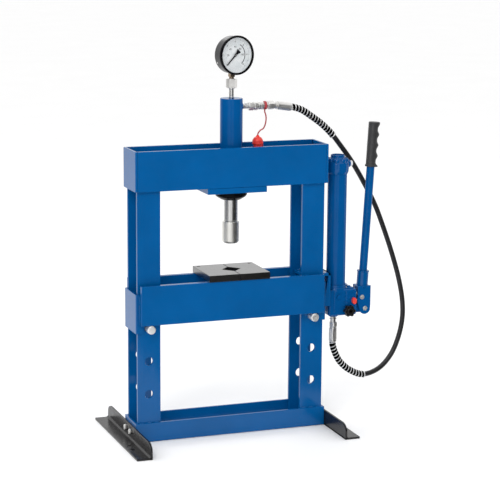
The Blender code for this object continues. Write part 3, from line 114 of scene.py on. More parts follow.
class Surface:
    """A Principled material put together node by node, with the name of the slot it stands for."""

    def __init__(self, name, slot, roughness, metallic=0.0, grain=(1, 1, 1), **inputs):
        self.slot = slot
        self.material = bpy.data.materials.new(name)
        self.material.use_nodes = True
        self.tree = self.material.node_tree
        self.shader = self.tree.nodes["Principled BSDF"]
        self.shader.inputs["Roughness"].default_value = roughness
        self.shader.inputs["Metallic"].default_value = metallic
        for key, value in inputs.items():
            self.shader.inputs[key.replace("_", " ")].default_value = value
        self.plain = self.node("ShaderNodeTexCoord").outputs["Object"]
        self.place = self.plain
        if grain != (1, 1, 1):
            mapping = self.node("ShaderNodeMapping")
            mapping.inputs["Scale"].default_value = grain
            self.link(self.plain, mapping.inputs["Vector"])
            self.place = mapping.outputs["Vector"]
        self.height = None

    def node(self, kind):
        return self.tree.nodes.new(kind)

    def link(self, a, b):
        self.tree.links.new(a, b)

    def noise(self, scale, detail=3.0, rough=0.55, place=None):
        made = self.node("ShaderNodeTexNoise")
        for key, number in (("Scale", scale), ("Detail", detail), ("Roughness", rough)):
            made.inputs[key].default_value = number
        self.link(place or self.place, made.inputs["Vector"])
        return made.outputs["Fac"]

    def span(self, value, low, high, from_low=0.3, from_high=0.7):
        """Maps a value to run between low and high."""
        made = self.node("ShaderNodeMapRange")
        for key, number in (
            ("From Min", from_low), ("From Max", from_high), ("To Min", low), ("To Max", high),
        ):
            made.inputs[key].default_value = number
        self.link(value, made.inputs["Value"])
        return made.outputs["Result"]

    def colours(self, value, dark, light, low=0.3, high=0.7):
        """A ramp from the dark to the light colour, while the value goes from low to high."""
        ramp = self.node("ShaderNodeValToRGB")
        for element, position, colour in zip(ramp.color_ramp.elements, (low, high), (dark, light)):
            element.position = position
            element.color = (*colour, 1.0)
        self.link(value, ramp.inputs["Fac"])
        return ramp.outputs["Color"]

    def mix(self, share, a, b):
        """Blends two colours, each a socket or a tuple, by the share."""
        made = self.node("ShaderNodeMix")
        made.data_type = "RGBA"
        for socket, value in ((made.inputs[0], share), (made.inputs[6], a), (made.inputs[7], b)):
            if isinstance(value, tuple):
                socket.default_value = (*value, 1.0)
            else:
                self.link(value, socket)
        return made.outputs[2]

    def colour(self, socket):
        self.link(socket, self.shader.inputs["Base Color"])

    def roughness(self, socket):
        self.link(socket, self.shader.inputs["Roughness"])

    def bump(self, value, depth):
        """Adds a relief to any that is there already."""
        made = self.node("ShaderNodeBump")
        made.inputs["Strength"].default_value = 1.0
        made.inputs["Distance"].default_value = depth
        self.link(value, made.inputs["Height"])
        if self.height:
            self.link(self.height, made.inputs["Normal"])
        self.height = made.outputs["Normal"]
        self.link(self.height, self.shader.inputs["Normal"])


def shade(colour, factor):
    return tuple(min(1.0, c * factor) for c in colour)


def paint(name, slot, colour, roughness, specular, peel=0.00006):
    """Sprayed enamel: soft mottling, orange peel, and a little dust."""
    made = Surface(name, slot, roughness, Specular_IOR_Level=specular)
    tone = made.colours(made.noise(9, 4), shade(colour, 0.9), shade(colour, 1.08))
    dust = made.span(made.noise(260, 5, 0.7), 0.0, 0.1, 0.6, 0.8)
    pale = tuple(0.8 * c + 0.01 for c in colour)
    made.colour(made.mix(dust, tone, pale))
    made.roughness(made.span(made.noise(38, 4), roughness * 0.85, roughness * 1.2))
    made.bump(made.noise(520, 2), peel)
    made.bump(made.noise(24, 2), peel * 2.5)
    return made


def metal(name, slot, colour, roughness, grain, lines=1400, wear=0.14):
    """Machined or plated metal: fine lines along the grain, and broad clouding."""
    made = Surface(name, slot, roughness, 1.0, grain)
    fine = made.noise(lines, 4, 0.65)
    cloud = made.noise(45, 4, place=made.plain)
    tone = made.colours(fine, shade(colour, 1 - wear), shade(colour, 1 + wear / 2), 0.35, 0.65)
    made.colour(made.mix(made.span(cloud, 0.0, 0.35), tone, shade(colour, 0.8)))
    made.roughness(made.span(made.noise(lines * 0.4, 3), roughness * 0.75, roughness * 1.35))
    made.bump(fine, 0.00002)
    return made


def moulded(name, slot, colour, roughness, grain_scale=900, specular=0.5):
    """Rubber or plastic with a fine moulded texture."""
    made = Surface(name, slot, roughness, Specular_IOR_Level=specular)
    made.colour(made.colours(made.noise(70, 4), shade(colour, 0.85), shade(colour, 1.15)))
    made.roughness(made.span(made.noise(120, 3), roughness * 0.85, roughness * 1.15))
    made.bump(made.noise(grain_scale, 3), 0.00005)
    return made


def hose_cover():
    """Black rubber with the print of its wrapping cloth."""
    made = Surface("hose_rubber", "rubber", 0.42, Specular_IOR_Level=0.45)
    made.colour(made.colours(made.noise(60, 4), (0.008, 0.008, 0.009), (0.019, 0.019, 0.021)))
    weave = made.node("ShaderNodeTexVoronoi")
    weave.inputs["Scale"].default_value = 950
    made.link(made.place, weave.inputs["Vector"])
    made.bump(weave.outputs["Distance"], 0.00008)
    return made


def plate_oxide():
    """Blacked and oiled steel whose faces keep fine grinding marks."""
    made = Surface(
        "black_oxide_steel", "black_oxide", 0.3, grain=(1, 18, 1), Specular_IOR_Level=0.9,
        Coat_Weight=0.6, Coat_Roughness=0.22,
    )
    lines = made.noise(160, 5, 0.6)
    made.colour(made.colours(lines, (0.003, 0.0028, 0.0028), (0.009, 0.0082, 0.0076)))
    made.roughness(made.span(made.noise(30, 5), 0.26, 0.36))
    made.bump(lines, 0.000012)
    return made


def dial_enamel():
    """Matt white, a little uneven."""
    made = Surface("dial_enamel", "white_enamel", 0.45)
    made.colour(made.colours(made.noise(90, 3), (0.66, 0.7, 0.72), (0.78, 0.8, 0.81)))
    made.bump(made.noise(700, 2), 0.00001)
    return made


def lens_glass():
    """A thin clear pane: see-through, with a faint reflection and slight smears."""
    made = Surface("lens_glass", "clear_lens", 0.04)
    clear = made.node("ShaderNodeBsdfTransparent")
    gloss = made.node("ShaderNodeBsdfGlossy")
    blend = made.node("ShaderNodeMixShader")
    smears = made.noise(60, 4)
    made.link(made.span(smears, 0.02, 0.1), gloss.inputs["Roughness"])
    made.link(made.span(smears, 0.015, 0.035), blend.inputs["Fac"])
    made.link(clear.outputs["BSDF"], blend.inputs[1])
    made.link(gloss.outputs["BSDF"], blend.inputs[2])
    made.link(blend.outputs["Shader"], made.tree.nodes["Material Output"].inputs["Surface"])
    return made


BLUE = paint("blue_enamel", "blue_paint", (0.0003, 0.087, 0.28), 0.13, 0.28)
PUMP_BLUE = paint("pump_enamel", "pump_paint", (0.0003, 0.073, 0.248), 0.13, 0.12, 0.00005)
CASTING = paint("pump_casting", "pump_paint", (0.0003, 0.072, 0.245), 0.07, 0.3, 0.00005)
BLACK = paint("black_enamel", "black_paint", (0.009, 0.008, 0.009), 0.24, 0.34)
RING_BLACK = paint("ring_black", "black_paint", (0.003, 0.003, 0.004), 0.22, 0.06)
CASE_BLACK = paint("gauge_case_enamel", "gauge_black", (0.03, 0.03, 0.032), 0.34, 0.6, 0.00012)
OXIDE = plate_oxide()
RAM_STEEL = metal("ram_chrome", "ground_steel", (0.66, 0.66, 0.655), 0.27, (1, 1, 22))
NOSE_STEEL = metal("nose_steel", "ground_steel", (0.86, 0.85, 0.81), 0.4, (1, 1, 16))
PIN_STEEL = metal("pin_steel", "ground_steel", (0.97, 0.97, 0.96), 0.6, (1, 1, 1), 900, 0.06)
COIL_STEEL = metal("coil_steel", "ground_steel", (0.98, 0.98, 0.97), 0.6, (1, 1, 1), 600, 0.06)
ZINC_X = metal("zinc_along_x", "zinc_plate", (0.93, 0.92, 0.9), 0.44, (14, 1, 1))
ZINC_Z = metal("zinc_along_z", "zinc_plate", (0.82, 0.81, 0.79), 0.34, (1, 1, 12))
BRASS = metal("brass", "brass", (0.48, 0.37, 0.27), 0.36, (1, 1, 9))
RUBBER = hose_cover()
GRIP = moulded("grip_rubber", "rubber", (0.03, 0.03, 0.032), 0.52)
RED = moulded("red_plastic", "red_plastic", (0.8, 0.045, 0.032), 0.36, 500)
STRAP_RED = moulded("strap_red", "red_plastic", (0.42, 0.04, 0.048), 0.45, 700)
KNOB = moulded("knob_black", "black_paint", (0.007, 0.006, 0.006), 0.36, specular=0.3)
# Near-black with almost no gloss: painted dark reflection for the bands of the steel spring guard.
GUARD_PAINTED_DARK = moulded("guard_painted_dark", "ground_steel", (0.002, 0.002, 0.002), 0.55, specular=0.03)
INK = moulded("dial_ink", "black_paint", (0.006, 0.006, 0.008), 0.5, specular=0.1)
SCALE_GREY = moulded("scale_ink", "black_paint", (0.13, 0.14, 0.15), 0.5)
WHITE = moulded("white_nylon", "white_enamel", (0.72, 0.73, 0.74), 0.35)
DIAL_WHITE = dial_enamel()
LENS_GLASS = lens_glass()


# --- shapes, each a bmesh in the row frame ---


def placed(axis, u, v, along):
    return {"X": (along, u, v), "Y": (u, along, v), "Z": (u, v, along)}[axis]


def turns(steps, extra=0):
    """Angles that go once round in even steps, with any extra ones at the end."""
    return [2 * pi * i / steps for i in range(steps + extra)]


def face_out(shape):
    bmesh.ops.recalc_face_normals(shape, faces=shape.faces)
    if shape.calc_volume(signed=True) < 0:
        bmesh.ops.reverse_faces(shape, faces=shape.faces)
    return shape


def moved(shape, matrix):
    bmesh.ops.transform(shape, matrix=matrix, verts=shape.verts)
    return shape


def stood(shape, axis, centre):
    """A shape built about Z, put along the axis through the centre."""
    for vert in shape.verts:
        vert.co = Vector(placed(axis, *vert.co)) + Vector(centre)
    return face_out(shape)


def round_off(shape, edges, radius, segments):
    bmesh.ops.bevel(shape, geom=edges, offset=radius, segments=segments, profile=0.5, affect="EDGES")


def flat(loops, axis, low, high, edge=EDGE, segments=2):
    """A plate: an outline and its holes, extruded along the axis, with its rims rounded."""
    shape = bmesh.new()
    edges = []
    for loop in loops:
        verts = [shape.verts.new(placed(axis, u, v, low)) for u, v in loop]
        edges += [shape.edges.new(pair) for pair in zip(verts, verts[1:] + verts[:1])]
    way = Vector(placed(axis, 0, 0, 1))
    bmesh.ops.triangle_fill(shape, use_beauty=True, edges=edges, normal=way)
    grown = bmesh.ops.extrude_face_region(shape, geom=list(shape.faces))["geom"]
    raised = [item for item in grown if isinstance(item, bmesh.types.BMVert)]
    bmesh.ops.translate(shape, verts=raised, vec=placed(axis, 0, 0, high - low))
    face_out(shape)

    def is_rim(e):
        if len(e.link_faces) != 2:
            return False
        first, second = (abs(face.normal.dot(way)) for face in e.link_faces)
        return abs(first - second) > 0.5

    if edge:
        round_off(shape, [e for e in shape.edges if is_rim(e)], edge, segments)
    return shape


def slab(low, high, edge=EDGE, segments=2):
    """A block with every edge rounded."""
    shape = bmesh.new()
    size = Vector(high) - Vector(low)
    centre = (Vector(high) + Vector(low)) / 2
    bmesh.ops.create_cube(shape, size=1, matrix=Matrix.Translation(centre) @ Matrix.Diagonal((*size, 1)))
    round_off(shape, list(shape.edges), edge, segments)
    return shape


def softened(profile, radius):
    """The profile with each inner corner rounded, by the radius or by a third of its shorter side."""
    steps = 3
    made = [profile[0]]
    for before, corner, after in zip(profile, profile[1:], profile[2:]):
        p, a, b = Vector(corner), Vector(before), Vector(after)
        reach = min(radius, (a - p).length / 3, (b - p).length / 3)
        if reach < 1e-6:
            made.append(corner)
            continue
        start = p + (a - p).normalized() * reach
        end = p + (b - p).normalized() * reach
        for i in range(steps + 1):
            t = i / steps
            made.append(tuple((1 - t) ** 2 * start + 2 * t * (1 - t) * p + t * t * end))
    made.append(profile[-1])
    return made


def lathe(profile, centre=(0, 0, 0), axis="Z", soft=0.0006, closed=False, sides=ROUND):
    """The profile of (radius, height) turned about a line along the axis through the centre."""
    if closed:
        profile = softened([*profile, profile[0], profile[1]], soft)[1:-1]
    elif soft:
        profile = softened(profile, soft)
    shape = bmesh.new()
    points = [shape.verts.new((radius, 0, height)) for radius, height in profile]
    edges = [shape.edges.new(pair) for pair in zip(points, points[1:])]
    if closed:
        edges.append(shape.edges.new((points[-1], points[0])))
    bmesh.ops.spin(
        shape, geom=points + edges, cent=(0, 0, 0), axis=(0, 0, 1), angle=2 * pi, steps=sides,
        use_merge=True,
    )
    bmesh.ops.remove_doubles(shape, verts=shape.verts, dist=1e-6)
    bmesh.ops.delete(shape, geom=[e for e in shape.edges if not e.link_faces], context="EDGES")
    return stood(shape, axis, centre)


def rod(radius, low, high, centre=(0, 0, 0), axis="Z", soft=0.0006, sides=ROUND):
    return lathe([(0, low), (radius, low), (radius, high), (0, high)], centre, axis, soft, sides=sides)


def ring_of(inner, outer, low, high, centre, axis="Z", soft=0.0006, sides=ROUND):
    loop = [(inner, low), (outer, low), (outer, high), (inner, high)]
    return lathe(loop, centre, axis, soft, True, sides)


def skin(shape, rings, caps=True):
    for first, second in zip(rings, rings[1:]):
        for k in range(len(first)):
            after = (k + 1) % len(first)
            shape.faces.new((first[k], first[after], second[after], second[k]))
    if caps:
        shape.faces.new(rings[0])
        shape.faces.new(rings[-1])


def ringed(levels, sides, reach):
    """A closed body about Z. Each level starts with its height; reach(level, angle) is its radius."""
    shape = bmesh.new()
    rings = []
    for level in levels:
        radii = [(angle, reach(level, angle)) for angle in turns(sides)]
        rings.append([shape.verts.new((r * cos(a), r * sin(a), level[0])) for a, r in radii])
    skin(shape, rings)
    return shape


def hexagon_bar(across, low, high, centre, axis, start, chamfer):
    """A hexagon with its ends turned down at the corners, as nuts and unions are."""
    flat_radius = across / 2
    corner = flat_radius / cos(pi / 6)
    end = flat_radius - 0.0002
    levels = ((low, end), (low + chamfer, corner), (high - chamfer, corner), (high, end))

    def reach(level, angle):
        return min(level[1], flat_radius / cos((angle - radians(start)) % (pi / 3) - pi / 6))

    return stood(ringed(levels, 48, reach), axis, centre)


def side_frames(points):
    """For each point, two directions square to the route, carried along without twisting."""
    side = None
    for i in range(len(points)):
        way = (points[min(i + 1, len(points) - 1)] - points[max(i - 1, 0)]).normalized()
        side = way.orthogonal() if side is None else side
        side = (side - way * side.dot(way)).normalized()
        yield side, way.cross(side)


def sweep(points, radius, sides, caps=True):
    """A round section carried along the points. The radius is a number, or a function of (share, angle)."""
    path = [Vector(p) for p in points]
    shape = bmesh.new()
    rings = []
    for i, (point, (side, other)) in enumerate(zip(path, side_frames(path))):
        share = i / (len(path) - 1)
        ring = []
        for angle in turns(sides):
            reach = radius(share, angle) if callable(radius) else radius
            ring.append(shape.verts.new(point + reach * (cos(angle) * side + sin(angle) * other)))
        rings.append(ring)
    skin(shape, rings, caps)
    return face_out(shape)


def circle(centre, radius, steps):
    return [(centre[0] + radius * cos(t), centre[1] + radius * sin(t)) for t in turns(steps)]


def arc(centre, radius, start, end, steps):
    angles = [radians(start + (end - start) * i / steps) for i in range(steps + 1)]
    return [(centre[0] + radius * cos(t), centre[1] + radius * sin(t)) for t in angles]


def box_outline(low, high, radius=0.0, steps=4):
    """A rectangle's outline, anticlockwise, with rounded corners."""
    (x0, y0), (x1, y1) = low, high
    if not radius:
        return [(x0, y0), (x1, y0), (x1, y1), (x0, y1)]
    r = radius
    return (
        arc((x0 + r, y0 + r), r, 180, 270, steps) + arc((x1 - r, y0 + r), r, 270, 360, steps)
        + arc((x1 - r, y1 - r), r, 0, 90, steps) + arc((x0 + r, y1 - r), r, 90, 180, steps)
    )


def weld(start, end, radius, seed=0.0):
    """A weld bead: a rippled half-round run between two points."""
    a, b = Vector(start), Vector(end)
    count = max(6, int((b - a).length / 0.0007))
    points = [a.lerp(b, i / count) for i in range(count + 1)]

    def bead(share, angle):
        ends = min(1.0, 6 * share, 6 * (1 - share)) ** 0.5
        ripple = 1 + 0.16 * sin(share * count * 2 * pi / 3.4)
        uneven = 1 + 0.1 * noise.noise(Vector((share * 9, angle, seed)))
        return radius * max(0.12, ends) * ripple * uneven

    return sweep(points, bead, 10)


def weld_along_x(x, reach, y, z, radius, seed):
    return weld((x, y, z), (x + reach, y, z), radius, seed)


def ring_weld(x, y, z, radius, thick, ripple, waves, steps, sides):
    """A weld bead that goes once round, with even waves."""
    points = [(x + radius * cos(t), y + radius * sin(t), z) for t in turns(steps, 1)]

    def bead(share, _):
        return thick * (1 + ripple * sin(share * 2 * pi * waves))

    return sweep(points, bead, sides, False)


# --- pieces ---


def show(name, shapes, look, nodes=(), body=FRAME_BODY, slot=None, sharp=32):
    """One visible piece from several shapes. It may stand for CAD nodes, and it rides on a body."""
    mesh = bpy.data.meshes.new(name)
    whole = bmesh.new()
    for shape in shapes if isinstance(shapes, (list, tuple)) else [shapes]:
        part = bpy.data.meshes.new("part")
        shape.to_mesh(part)
        shape.free()
        whole.from_mesh(part)
        bpy.data.meshes.remove(part)
    whole.to_mesh(mesh)
    whole.free()
    mesh.materials.append(look.material)
    mesh.shade_smooth()
    mesh.set_sharp_from_angle(angle=radians(sharp))
    made = link_new(name, mesh)
    weighted = made.modifiers.new("flat_faces", "WEIGHTED_NORMAL")
    weighted.keep_sharp = True
    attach(made, body)
    if nodes:
        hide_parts(*([nodes] if isinstance(nodes, str) else nodes))
    slot or look.slot
    return made


# --- hose and strap ---

HOSE_SKIN = 0.0066  # the drawn cover, kept inside the faceted tube
TAIL_X = span("hose_end_upper", 0)[0] + 0.0185  # where the upper end's tail starts to droop
TAIL_LENGTH = 0.0432
HOSE_START = (
    TAIL_X + (TAIL_LENGTH + GAP) * cos(TAIL_BEND),
    PORT_Z - (TAIL_LENGTH + GAP) * sin(TAIL_BEND),
)
HOSE_END_Z = span("hose_end_lower", 2)[0]
OUTLET_X = middle("hose_end_lower").x
HOSE_UPPER = (
    (0.0, 0.0, 0.0), (0.0751, 0.0, -0.0015), (0.2449, 0.002, -0.0091), (0.4591, 0.004, -0.0272),
    (0.6777, 0.007, -0.0478), (0.9023, 0.011, -0.0752), (1.0932, 0.015, -0.1049),
    (1.3666, 0.021, -0.1505), (1.6837, 0.028, -0.2149), (1.9159, 0.031, -0.2701),
)  # from the upper end: share of the way across to the tube, y, and z
HOSE_LOWER = (
    (0.145, 0.031, 0.2928), (0.173, 0.031, 0.2178), (0.195, 0.03, 0.1458), (0.206, 0.028, 0.0868),
    (0.206, 0.025, 0.0398), (0.194, 0.021, -0.0102), (0.17, 0.016, -0.0572), (0.133, 0.011, -0.0902),
    (0.087, 0.007, -0.1012), (0.045, 0.004, -0.0842), (0.014, 0.002, -0.0552),
    (OUTLET_X - TUBE_X, 0.0, -0.012), (OUTLET_X - TUBE_X, 0.0, -GAP),
)  # x from the tube's axis, y, and z from the lower end
HOSE_REACH = TUBE_X - HOSE_START[0]
HOSE_ROUTE = tuple(
    (HOSE_START[0] + share * HOSE_REACH, y, HOSE_START[1] + z) for share, y, z in HOSE_UPPER
)
HOSE_ROUTE += tuple((TUBE_X + x, y, HOSE_END_Z + z) for x, y, z in HOSE_LOWER)
GUARD_LENGTH = 0.15
GUARD_OUTER = 0.0086
GUARD_WIRE = 0.0014
GUARD_PITCH = 0.009
GUARD_GROOVE = 0.003  # width of the groove between the turns of the wrap
GROOVE_DEPTH = 0.0006


def smooth_route(points):
    """A centripetal Catmull-Rom curve through the points, as a dense list."""
    fine = 12
    ends = [2 * Vector(points[0]) - Vector(points[1])]
    ends += [Vector(p) for p in points]
    ends.append(2 * Vector(points[-1]) - Vector(points[-2]))
    dense = []
    for a, b, c, d in zip(ends, ends[1:], ends[2:], ends[3:]):
        ta = 0.0
        tb = ta + (b - a).length ** 0.5
        tc = tb + (c - b).length ** 0.5
        td = tc + (d - c).length ** 0.5
        for i in range(fine):
            t = tb + (tc - tb) * i / fine
            ab = a.lerp(b, (t - ta) / (tb - ta))
            bc = b.lerp(c, (t - tb) / (tc - tb))
            cd = c.lerp(d, (t - tc) / (td - tc))
            abc = ab.lerp(bc, (t - ta) / (tc - ta))
            bcd = bc.lerp(cd, (t - tb) / (td - tb))
            dense.append(abc.lerp(bcd, (t - tb) / (tc - tb)))
    dense.append(ends[-2])
    return dense


def lengths_along(dense):
    total = [0.0]
    for a, b in zip(dense, dense[1:]):
        total.append(total[-1] + (b - a).length)
    return total


def point_at(dense, total, distance):
    for i in range(len(total) - 1):
        if total[i + 1] >= distance:
            share = (distance - total[i]) / max(1e-9, total[i + 1] - total[i])
            return dense[i].lerp(dense[i + 1], share)
    return dense[-1]


def spaced(dense, start, end, steps):
    """Evenly spaced points along a dense line, between two distances from its start."""
    total = lengths_along(dense)
    return [point_at(dense, total, start + (end - start) * i / steps) for i in range(steps + 1)]


def make_guard(name, node, dense, start, end):
    """A steel guard round the hose: a grooved sleeve whose near-black colour with almost no gloss is painted
    dark reflection, and the bright wire that shows in its grooves.
    """
    steps = round((end - start) / 0.0006)
    points = spaced(dense, start, end, steps)
    frames = list(side_frames(points))
    turns_per_metre = 1 / GUARD_PITCH
    groove = GUARD_GROOVE / 2 * turns_per_metre
    wrap, rings, wire = bmesh.new(), [], []
    sides = 20
    for i, (point, (side, other)) in enumerate(zip(points, frames)):
        along = (end - start) * i / steps
        ring = []
        for k, angle in enumerate(turns(sides)):
            phase = (along * turns_per_metre - k / sides) % 1.0
            reach = GUARD_OUTER - (GROOVE_DEPTH if phase < groove or phase > 1 - groove else 0.0)
            ring.append(wrap.verts.new(point + reach * (cos(angle) * side + sin(angle) * other)))
        rings.append(ring)
        turn = 2 * pi * along * turns_per_metre
        wire.append(point + (GUARD_OUTER - 0.0009) * (cos(turn) * side + sin(turn) * other))
    skin(wrap, rings)
    ends = [
        end_ring(points[0], frames[0], points[1] - points[0]),
        end_ring(points[-1], frames[-1], points[-2] - points[-1]),
    ]
    return [
        # The sleeve's near-black is painted dark reflection, not the steel's own colour.
        show(f"{name}_wrap", face_out(wrap), GUARD_PAINTED_DARK, node),
        show(f"{name}_wire", [sweep(wire, GUARD_WIRE, 7), *ends], COIL_STEEL),
    ]


def end_ring(point, sides, way):
    """One full turn of wire that closes the guard's end."""
    across, other = sides
    centre = point + way.normalized() * GUARD_WIRE
    loop = [centre + GUARD_OUTER * (cos(t) * across + sin(t) * other) for t in turns(32, 1)]
    return sweep(loop, GUARD_WIRE, 7)


def make_hose():
    dense = smooth_route(HOSE_ROUTE)
    length = lengths_along(dense)[-1]
    line = spaced(dense, 0.0, length, 260)
    hose = show("hose_line", sweep(line, HOSE_SKIN, 20), RUBBER, "hose")
    clear = 0.0005  # from the hose's ends to the guards
    guards = make_guard("guard_upper", "spring_guard_upper", dense, clear, GUARD_LENGTH)
    guards += make_guard("guard_lower", "spring_guard_lower", dense, length - GUARD_LENGTH, length - clear)
    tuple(HOSE_ROUTE[0])
    sum((b - a).length for a, b in zip(line, line[1:]))


CAP_X = middle("dust_cap").x
CAP_LOW, CAP_TOP = span("dust_cap", 2)
CAP_RADIUS = (span("dust_cap", 0)[1] - span("dust_cap", 0)[0]) / 2
STRAP_RADIUS = 0.0017
RING_X = middle("strap_ring").x
RING_LOW = span("strap_ring", 2)[0]


def strap_route():
    x, top = RING_X, RING_LOW - GAP
    return (
        (x, 0, top), (x, 0, top - 0.005), (x + 0.003, 0, top - 0.014), (x + 0.0038, 0, top - 0.025),
        (x + 0.0016, 0, top - 0.0375), (x - 0.0036, 0, top - 0.0475),
        (CAP_X + 0.0068, 0, CAP_TOP + 0.012), (CAP_X + 0.0016, 0, CAP_TOP + 0.0062),
        (CAP_X + 0.0003, 0, CAP_TOP + 0.003), (CAP_X, 0, CAP_TOP + GAP),
    )


def make_dust_cap():
    """A moulded cap that hangs by its strap: domed, ribbed round the rim, with a pull tab below."""
    rim, top, hollow = CAP_RADIUS, CAP_TOP, CAP_RADIUS - 0.0028 - 0.002
    profile = [
        (0.003, top), (0.005, top - 0.0035), (0.0095, top - 0.006), (rim - 0.0006, top - 0.0125),
        (rim - 0.0006, top - 0.0205), (rim - 0.003, CAP_LOW + 0.004), (rim - 0.0034, CAP_LOW),
        (hollow, CAP_LOW), (hollow, top - 0.014), (0, top - 0.012), (0, top),
    ]
    body = lathe(profile, (CAP_X, 0, 0), soft=0.0015, sides=48)
    rib = ring_of(rim - 0.003, rim, top - 0.0215, top - 0.0185, (CAP_X, 0, 0))
    tab = slab((CAP_X + 0.002, -0.003, CAP_LOW), (CAP_X + CAP_RADIUS, 0.003, CAP_LOW + 0.011), 0.0022, 3)
    return show("cap_moulding", [body, rib, tab], RED, "dust_cap")


def make_strap():
    dense = smooth_route(strap_route())
    line = spaced(dense, 0.0, lengths_along(dense)[-1], 60)
    strap = show("strap_line", sweep(line, STRAP_RADIUS, 12), STRAP_RED, "cap_strap")
    cap = make_dust_cap()
    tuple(strap_route()[0])
    sum((b - a).length for a, b in zip(line, line[1:]))


# --- frame ---

PIN_X = (middle("bed_pin_left").x, middle("bed_pin_right").x)
HOLE_ZS = (0.1235, 0.2085, 0.2935)
HOLE_RADIUS = 0.0109
UPRIGHT_SIDE = 0.0432  # where the uprights' faces meet the base and the head


def make_head():
    for side in ("front", "rear", "left", "right"):
        node = f"head_{side}_plate"
        low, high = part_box(node)
        outline = box_outline((low.y, low.z), (high.y, high.z), 0.003)
        shape = flat([outline], "X", low.x, high.x) if side in ("left", "right") else slab(low, high)
        show(f"head_{side}_face", shape, BLUE, node)
    low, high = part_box("cylinder_plate")
    outline = box_outline((low.x, low.y), (high.x, high.y), 0.002)
    shape = flat([outline, circle((RAM_X, 0), PLATE_BORE, 64)], "Z", low.z, high.z, 0.0012)
    show("cylinder_mounting", shape, BLUE, "cylinder_plate")
    make_head_welds()


def make_head_welds():
    """Beads inside the head's corners, round the mounting plate and round the cylinder."""
    front_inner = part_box("head_front_plate")[1].y
    left_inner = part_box("head_left_plate")[1].x
    right_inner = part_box("head_right_plate")[0].x
    z0, z1 = span("head_front_plate", 2)
    beads = []
    inset_x, inset_y = 0.0022, 0.0075
    for x, inward in ((left_inner, inset_x), (right_inner, -inset_x)):
        for y, near in ((front_inner, inset_y), (-front_inner, -inset_y)):
            foot = (x + inward, y + near, z0 + 0.006)
            beads.append(weld(foot, (x + inward, y + near, z1 - 0.018), 0.0018, x))
    low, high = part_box("cylinder_plate")
    for y in (front_inner, -front_inner):
        for x in (low.x + 0.012, high.x - 0.052):
            beads.append(weld_along_x(x, 0.04, y * 0.995, high.z + 0.001, 0.0026, x))
    beads.append(ring_weld(RAM_X, 0, high.z + 0.0006, 0.0295, 0.0024, 0.14, 45, 90, 10))
    show("head_welds", beads, BLUE)


def make_uprights():
    for side, x in (("left", PIN_X[0]), ("right", PIN_X[1])):
        for end in ("front", "rear"):
            node = f"upright_{side}_{end}"
            low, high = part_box(node)
            outline = box_outline((low.x, low.z), (high.x, high.z))
            loops = [outline] + [circle((x, z), HOLE_RADIUS, 48) for z in HOLE_ZS]
            shape = flat(loops, "Y", low.y, high.y, 0.0007)
            show(f"bar_{side}_{end}", shape, BLUE, node)


def make_base():
    low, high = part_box("base_frame")
    wall = 0.006
    outer = box_outline((low.x, low.y), (high.x, high.y), 0.0015)
    inner = box_outline((low.x + wall, low.y + wall), (high.x - wall, high.y - wall), 0.0008)
    show("base_ring", flat([outer, inner], "Z", low.z, high.z), BLUE, "base_frame")
    joint_z = span("head_front_plate", 2)[0] - 0.0002
    tack_pitch, tack_length = 0.0195, 0.013
    beads = []
    for side in ("left", "right"):
        for end, sign in (("front", -1), ("rear", 1)):
            a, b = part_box(f"upright_{side}_{end}")
            y = sign * UPRIGHT_SIDE
            for i in range(3):
                x = a.x + 0.004 + i * tack_pitch
                beads.append(weld_along_x(x, tack_length, y + sign * 0.001, high.z + 0.0004, 0.0021, x))
            beads.append(weld((a.x + 0.002, y, joint_z), (b.x - 0.002, y, joint_z), 0.0011, x))
    show("base_welds", beads, BLUE)


FOOT_THICK = 0.005
FOOT_BEND = 0.005  # inner radius of the angle
FOOT_BOLT = (0.0205, 0.0245)  # a bolt's place across and above the floor
SOLE_HOLES = (-0.076, -0.108)


def foot_leg_outline(low, high):
    """The upright leg seen from the side, with its top corners rounded."""
    reach_y, reach_z = 0.03, 0.019
    y0, y1, z0, z1 = low.y, high.y, low.z, high.z
    top_right = [
        (y1 - reach_y + reach_y * sin(radians(a)), z1 - reach_z + reach_z * cos(radians(a)))
        for a in range(90, -1, -10)
    ]
    return [(y0, z0), (y1, z0)] + top_right + [(-y, z) for y, z in reversed(top_right)]


def make_feet():
    for side, sign in (("left", -1), ("right", 1)):
        low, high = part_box(f"foot_{side}")
        web = high.x if sign < 0 else low.x
        leg_x = sorted((web, web + sign * FOOT_THICK))
        bolt_y, bolt_z = FOOT_BOLT
        bolt_holes = [circle((y, bolt_z), 0.0043, 24) for y in (-bolt_y, bolt_y)]
        leg = flat([foot_leg_outline(low, high)] + bolt_holes, "X", *leg_x, 0.0008)
        toe = low.x if sign < 0 else high.x
        hole_x = middle(f"foot_{side}").x + sign * 0.006
        base = box_outline((min(toe, web), low.y), (max(toe, web), high.y), 0.0015)
        holes = [circle((hole_x, y), 0.005, 28) for y in SOLE_HOLES]
        sole = flat([base] + holes, "Z", 0.0, FOOT_THICK, 0.0008)
        root = leg_x[0] if sign < 0 else leg_x[1]
        bend = [(root, FOOT_THICK)]
        bend += [
            (root + sign * (FOOT_BEND + x), FOOT_THICK + FOOT_BEND + z)
            for x, z in arc((0, 0), FOOT_BEND, 180, 270, 6)
        ]
        fillet = flat([bend], "Y", low.y + 0.0006, high.y - 0.0006, 0)
        show(f"foot_{side}_angle", [leg, sole, fillet], BLACK, f"foot_{side}")
        for end in ("front", "rear"):
            make_foot_bolt(side, end, sign)


def make_foot_bolt(side, end, sign):
    node = f"foot_bolt_{side}_{end}"
    low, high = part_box(node)
    y, z = (low.y + high.y) / 2, (low.z + high.z) / 2
    outer = low.x if sign < 0 else high.x
    head_height = 0.0053
    seat = outer - sign * head_height
    tip = high.x if sign < 0 else low.x
    head = hexagon_bar(0.013, *sorted((seat, outer)), (0, y, z), "X", 20, 0.001)
    shank = rod(0.004, *sorted((tip, seat)), (0, y, z), "X")
    show(f"{node}_set", [head, shank], ZINC_X, node)


